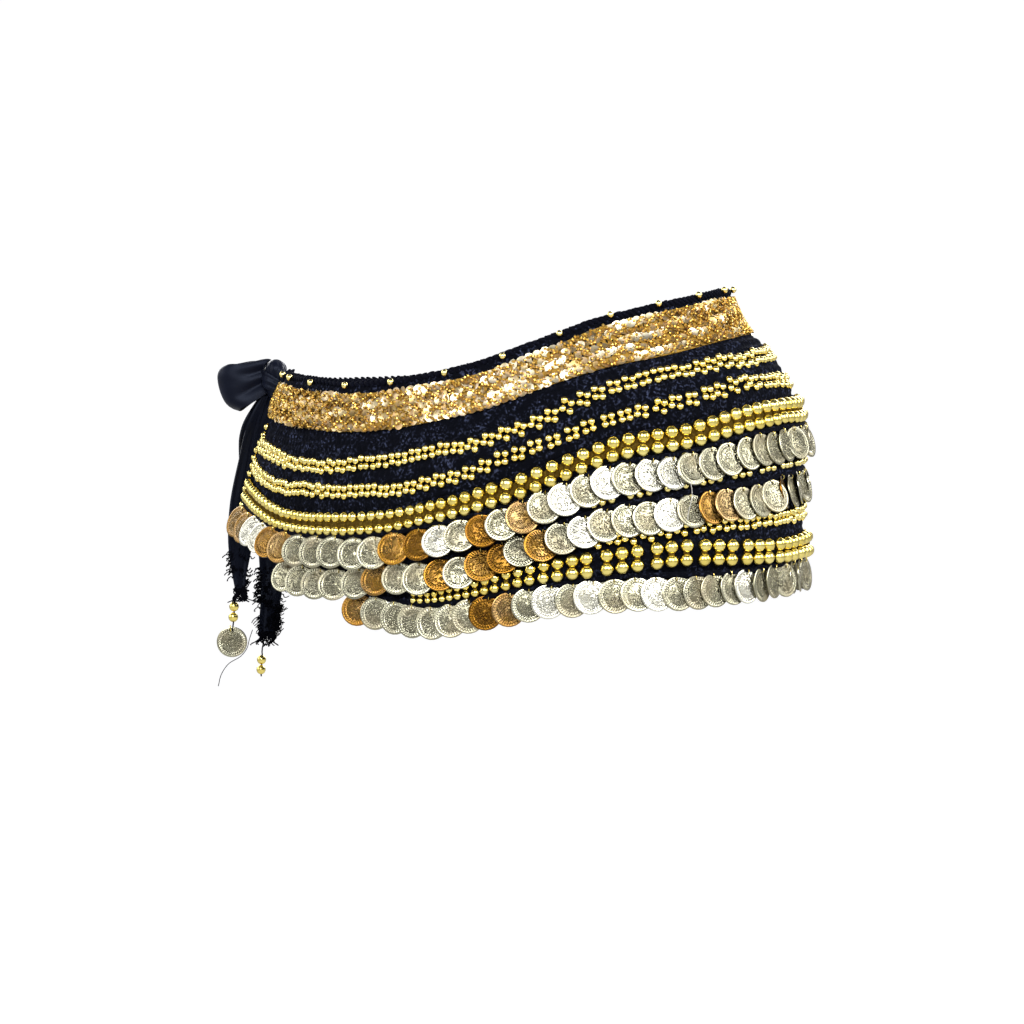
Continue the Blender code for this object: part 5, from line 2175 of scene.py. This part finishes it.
YOKE = KnitPanel(
    "yoke", (("", 1.2), ("sequin_foot", 0.0), ("beads_1", 0.0),
             ("beads_2", 0.0), ("beads_a", -BAND_HALF_HEIGHT + SEAM_OVERLAP)),
    (0.4, 1.3, 1.5, 1.2), (17, 14, 12, 7))
LOWER_PANEL = KnitPanel(
    "lower_panel", (("beads_a", -BAND_HALF_HEIGHT), ("beads_a", BAND_HALF_HEIGHT), ("coins_2", 0.0),
                    ("coins_3", 0.0), ("coins_3", HEM_BELOW_COINS)),
    (0.0, 0.6, 0.6, 0.2), (10, 12, 28, 3))


def coin_looks(*rows: tuple[float, ...]) -> tuple[CoinLook, ...]:
    """Looks of coins, each row as azimuth, tone, yaw, swing and lift."""
    return tuple(CoinLook(*row) for row in rows)


# The tones here paint single coins' amber reflections, shadows and glints.
ROW_1_LOOKS = coin_looks(
    (-57, 0.08, 14, -6, 1), (-51, 0.10, 6), (-45.5, 1), (-40, 0.98), (-34.5, 0.03), (-29, 0.12),
    (1, 0.08), (5.5, 0, -3), (12, 1, 0, 0, 0.8), (21, 0, 10), (28, 0.12, 8), (36, 1),
    (44, 1, 0, 0, 0.5), (52, 0.98), (58, 1), (96, 0.7, -24, 0, 1.8), (107, 0.9, -26, 0, 1.8),
    (150, 1), (163, 0.05, 8), (181, 1), (196, 0.1, 6), (214, 0.98), (239, 0.05, 8), (256, 1), (274, 0.08))
ROW_2_LOOKS = coin_looks(
    (-3, 0.1), (8, 0.85), (12, 0.02, 4), (21, 0.05, 10), (25, 0, -2), (30, 0.08, 9), (38, 0.98),
    (55.5, 1, -4, 0, 0.8), (66, 0.05, 9), (71, 0.15), (84, 0.75, -20, 0, 1.6), (91, 0, 10),
    (106, 0.8, -26, 0, 1.8), (148, 0.05, 8), (166, 1), (187, 0.1, 6), (205, 1), (222, 0, 8))
ROW_3_LOOKS = coin_looks(
    (-14, 0.1, 8), (21, 0), (25, 0.12, 12), (31, 1), (42, 1, 0, 0, 0.5), (54.5, 1, 0, 0, 0.6),
    (76, 1, -6, 0, 0.8), (94, 0.7, -24, 0, 1.8), (110, 0.8, -26, 0, 1.8), (152, 0.98),
    (170, 0.05, 8), (184, 1), (208, 0.1), (226, 1))


def main() -> None:
    """Dress the scarf and light it."""
    logging.basicConfig(level=logging.INFO, format="%(name)s: %(message)s")
    YOKE.build()
    LOWER_PANEL.build()
    EdgeCord().build()
    SequinBand().build()
    SmallBeads().build()
    LargeBeads("bead_band_a", "beads_a", TIED_END + 0.6, FAR_END - 0.6, pitch=8.1).build()
    LargeBeads("bead_band_b", "beads_b", DEEP_MIDDLE - BAND_B_REACH - 5.0,
               DEEP_MIDDLE + BAND_B_REACH + 5.0, out=2.7, grouped=True).build()
    CoinRow("coin_row_1", "beads_a", 7.2, 174.5, 2.2, 5.8, 9.2, 1.0, ROW_1_LOOKS).build()
    CoinRow("coin_row_2", "coins_2", -1.0, 145.0, 0.7, 5.8, 8.8, 2.0, ROW_2_LOOKS).build()
    CoinRow("coin_row_3", "coins_3", -0.6, 124.0, 0.7, 4.6, 4.6, 3.0, ROW_3_LOOKS,
            looser=0.15, end_yaw=8.0).build()
    Tie().build()
    LooseThread().build()
    Studio().build()


if __name__ == "__main__":
    main()
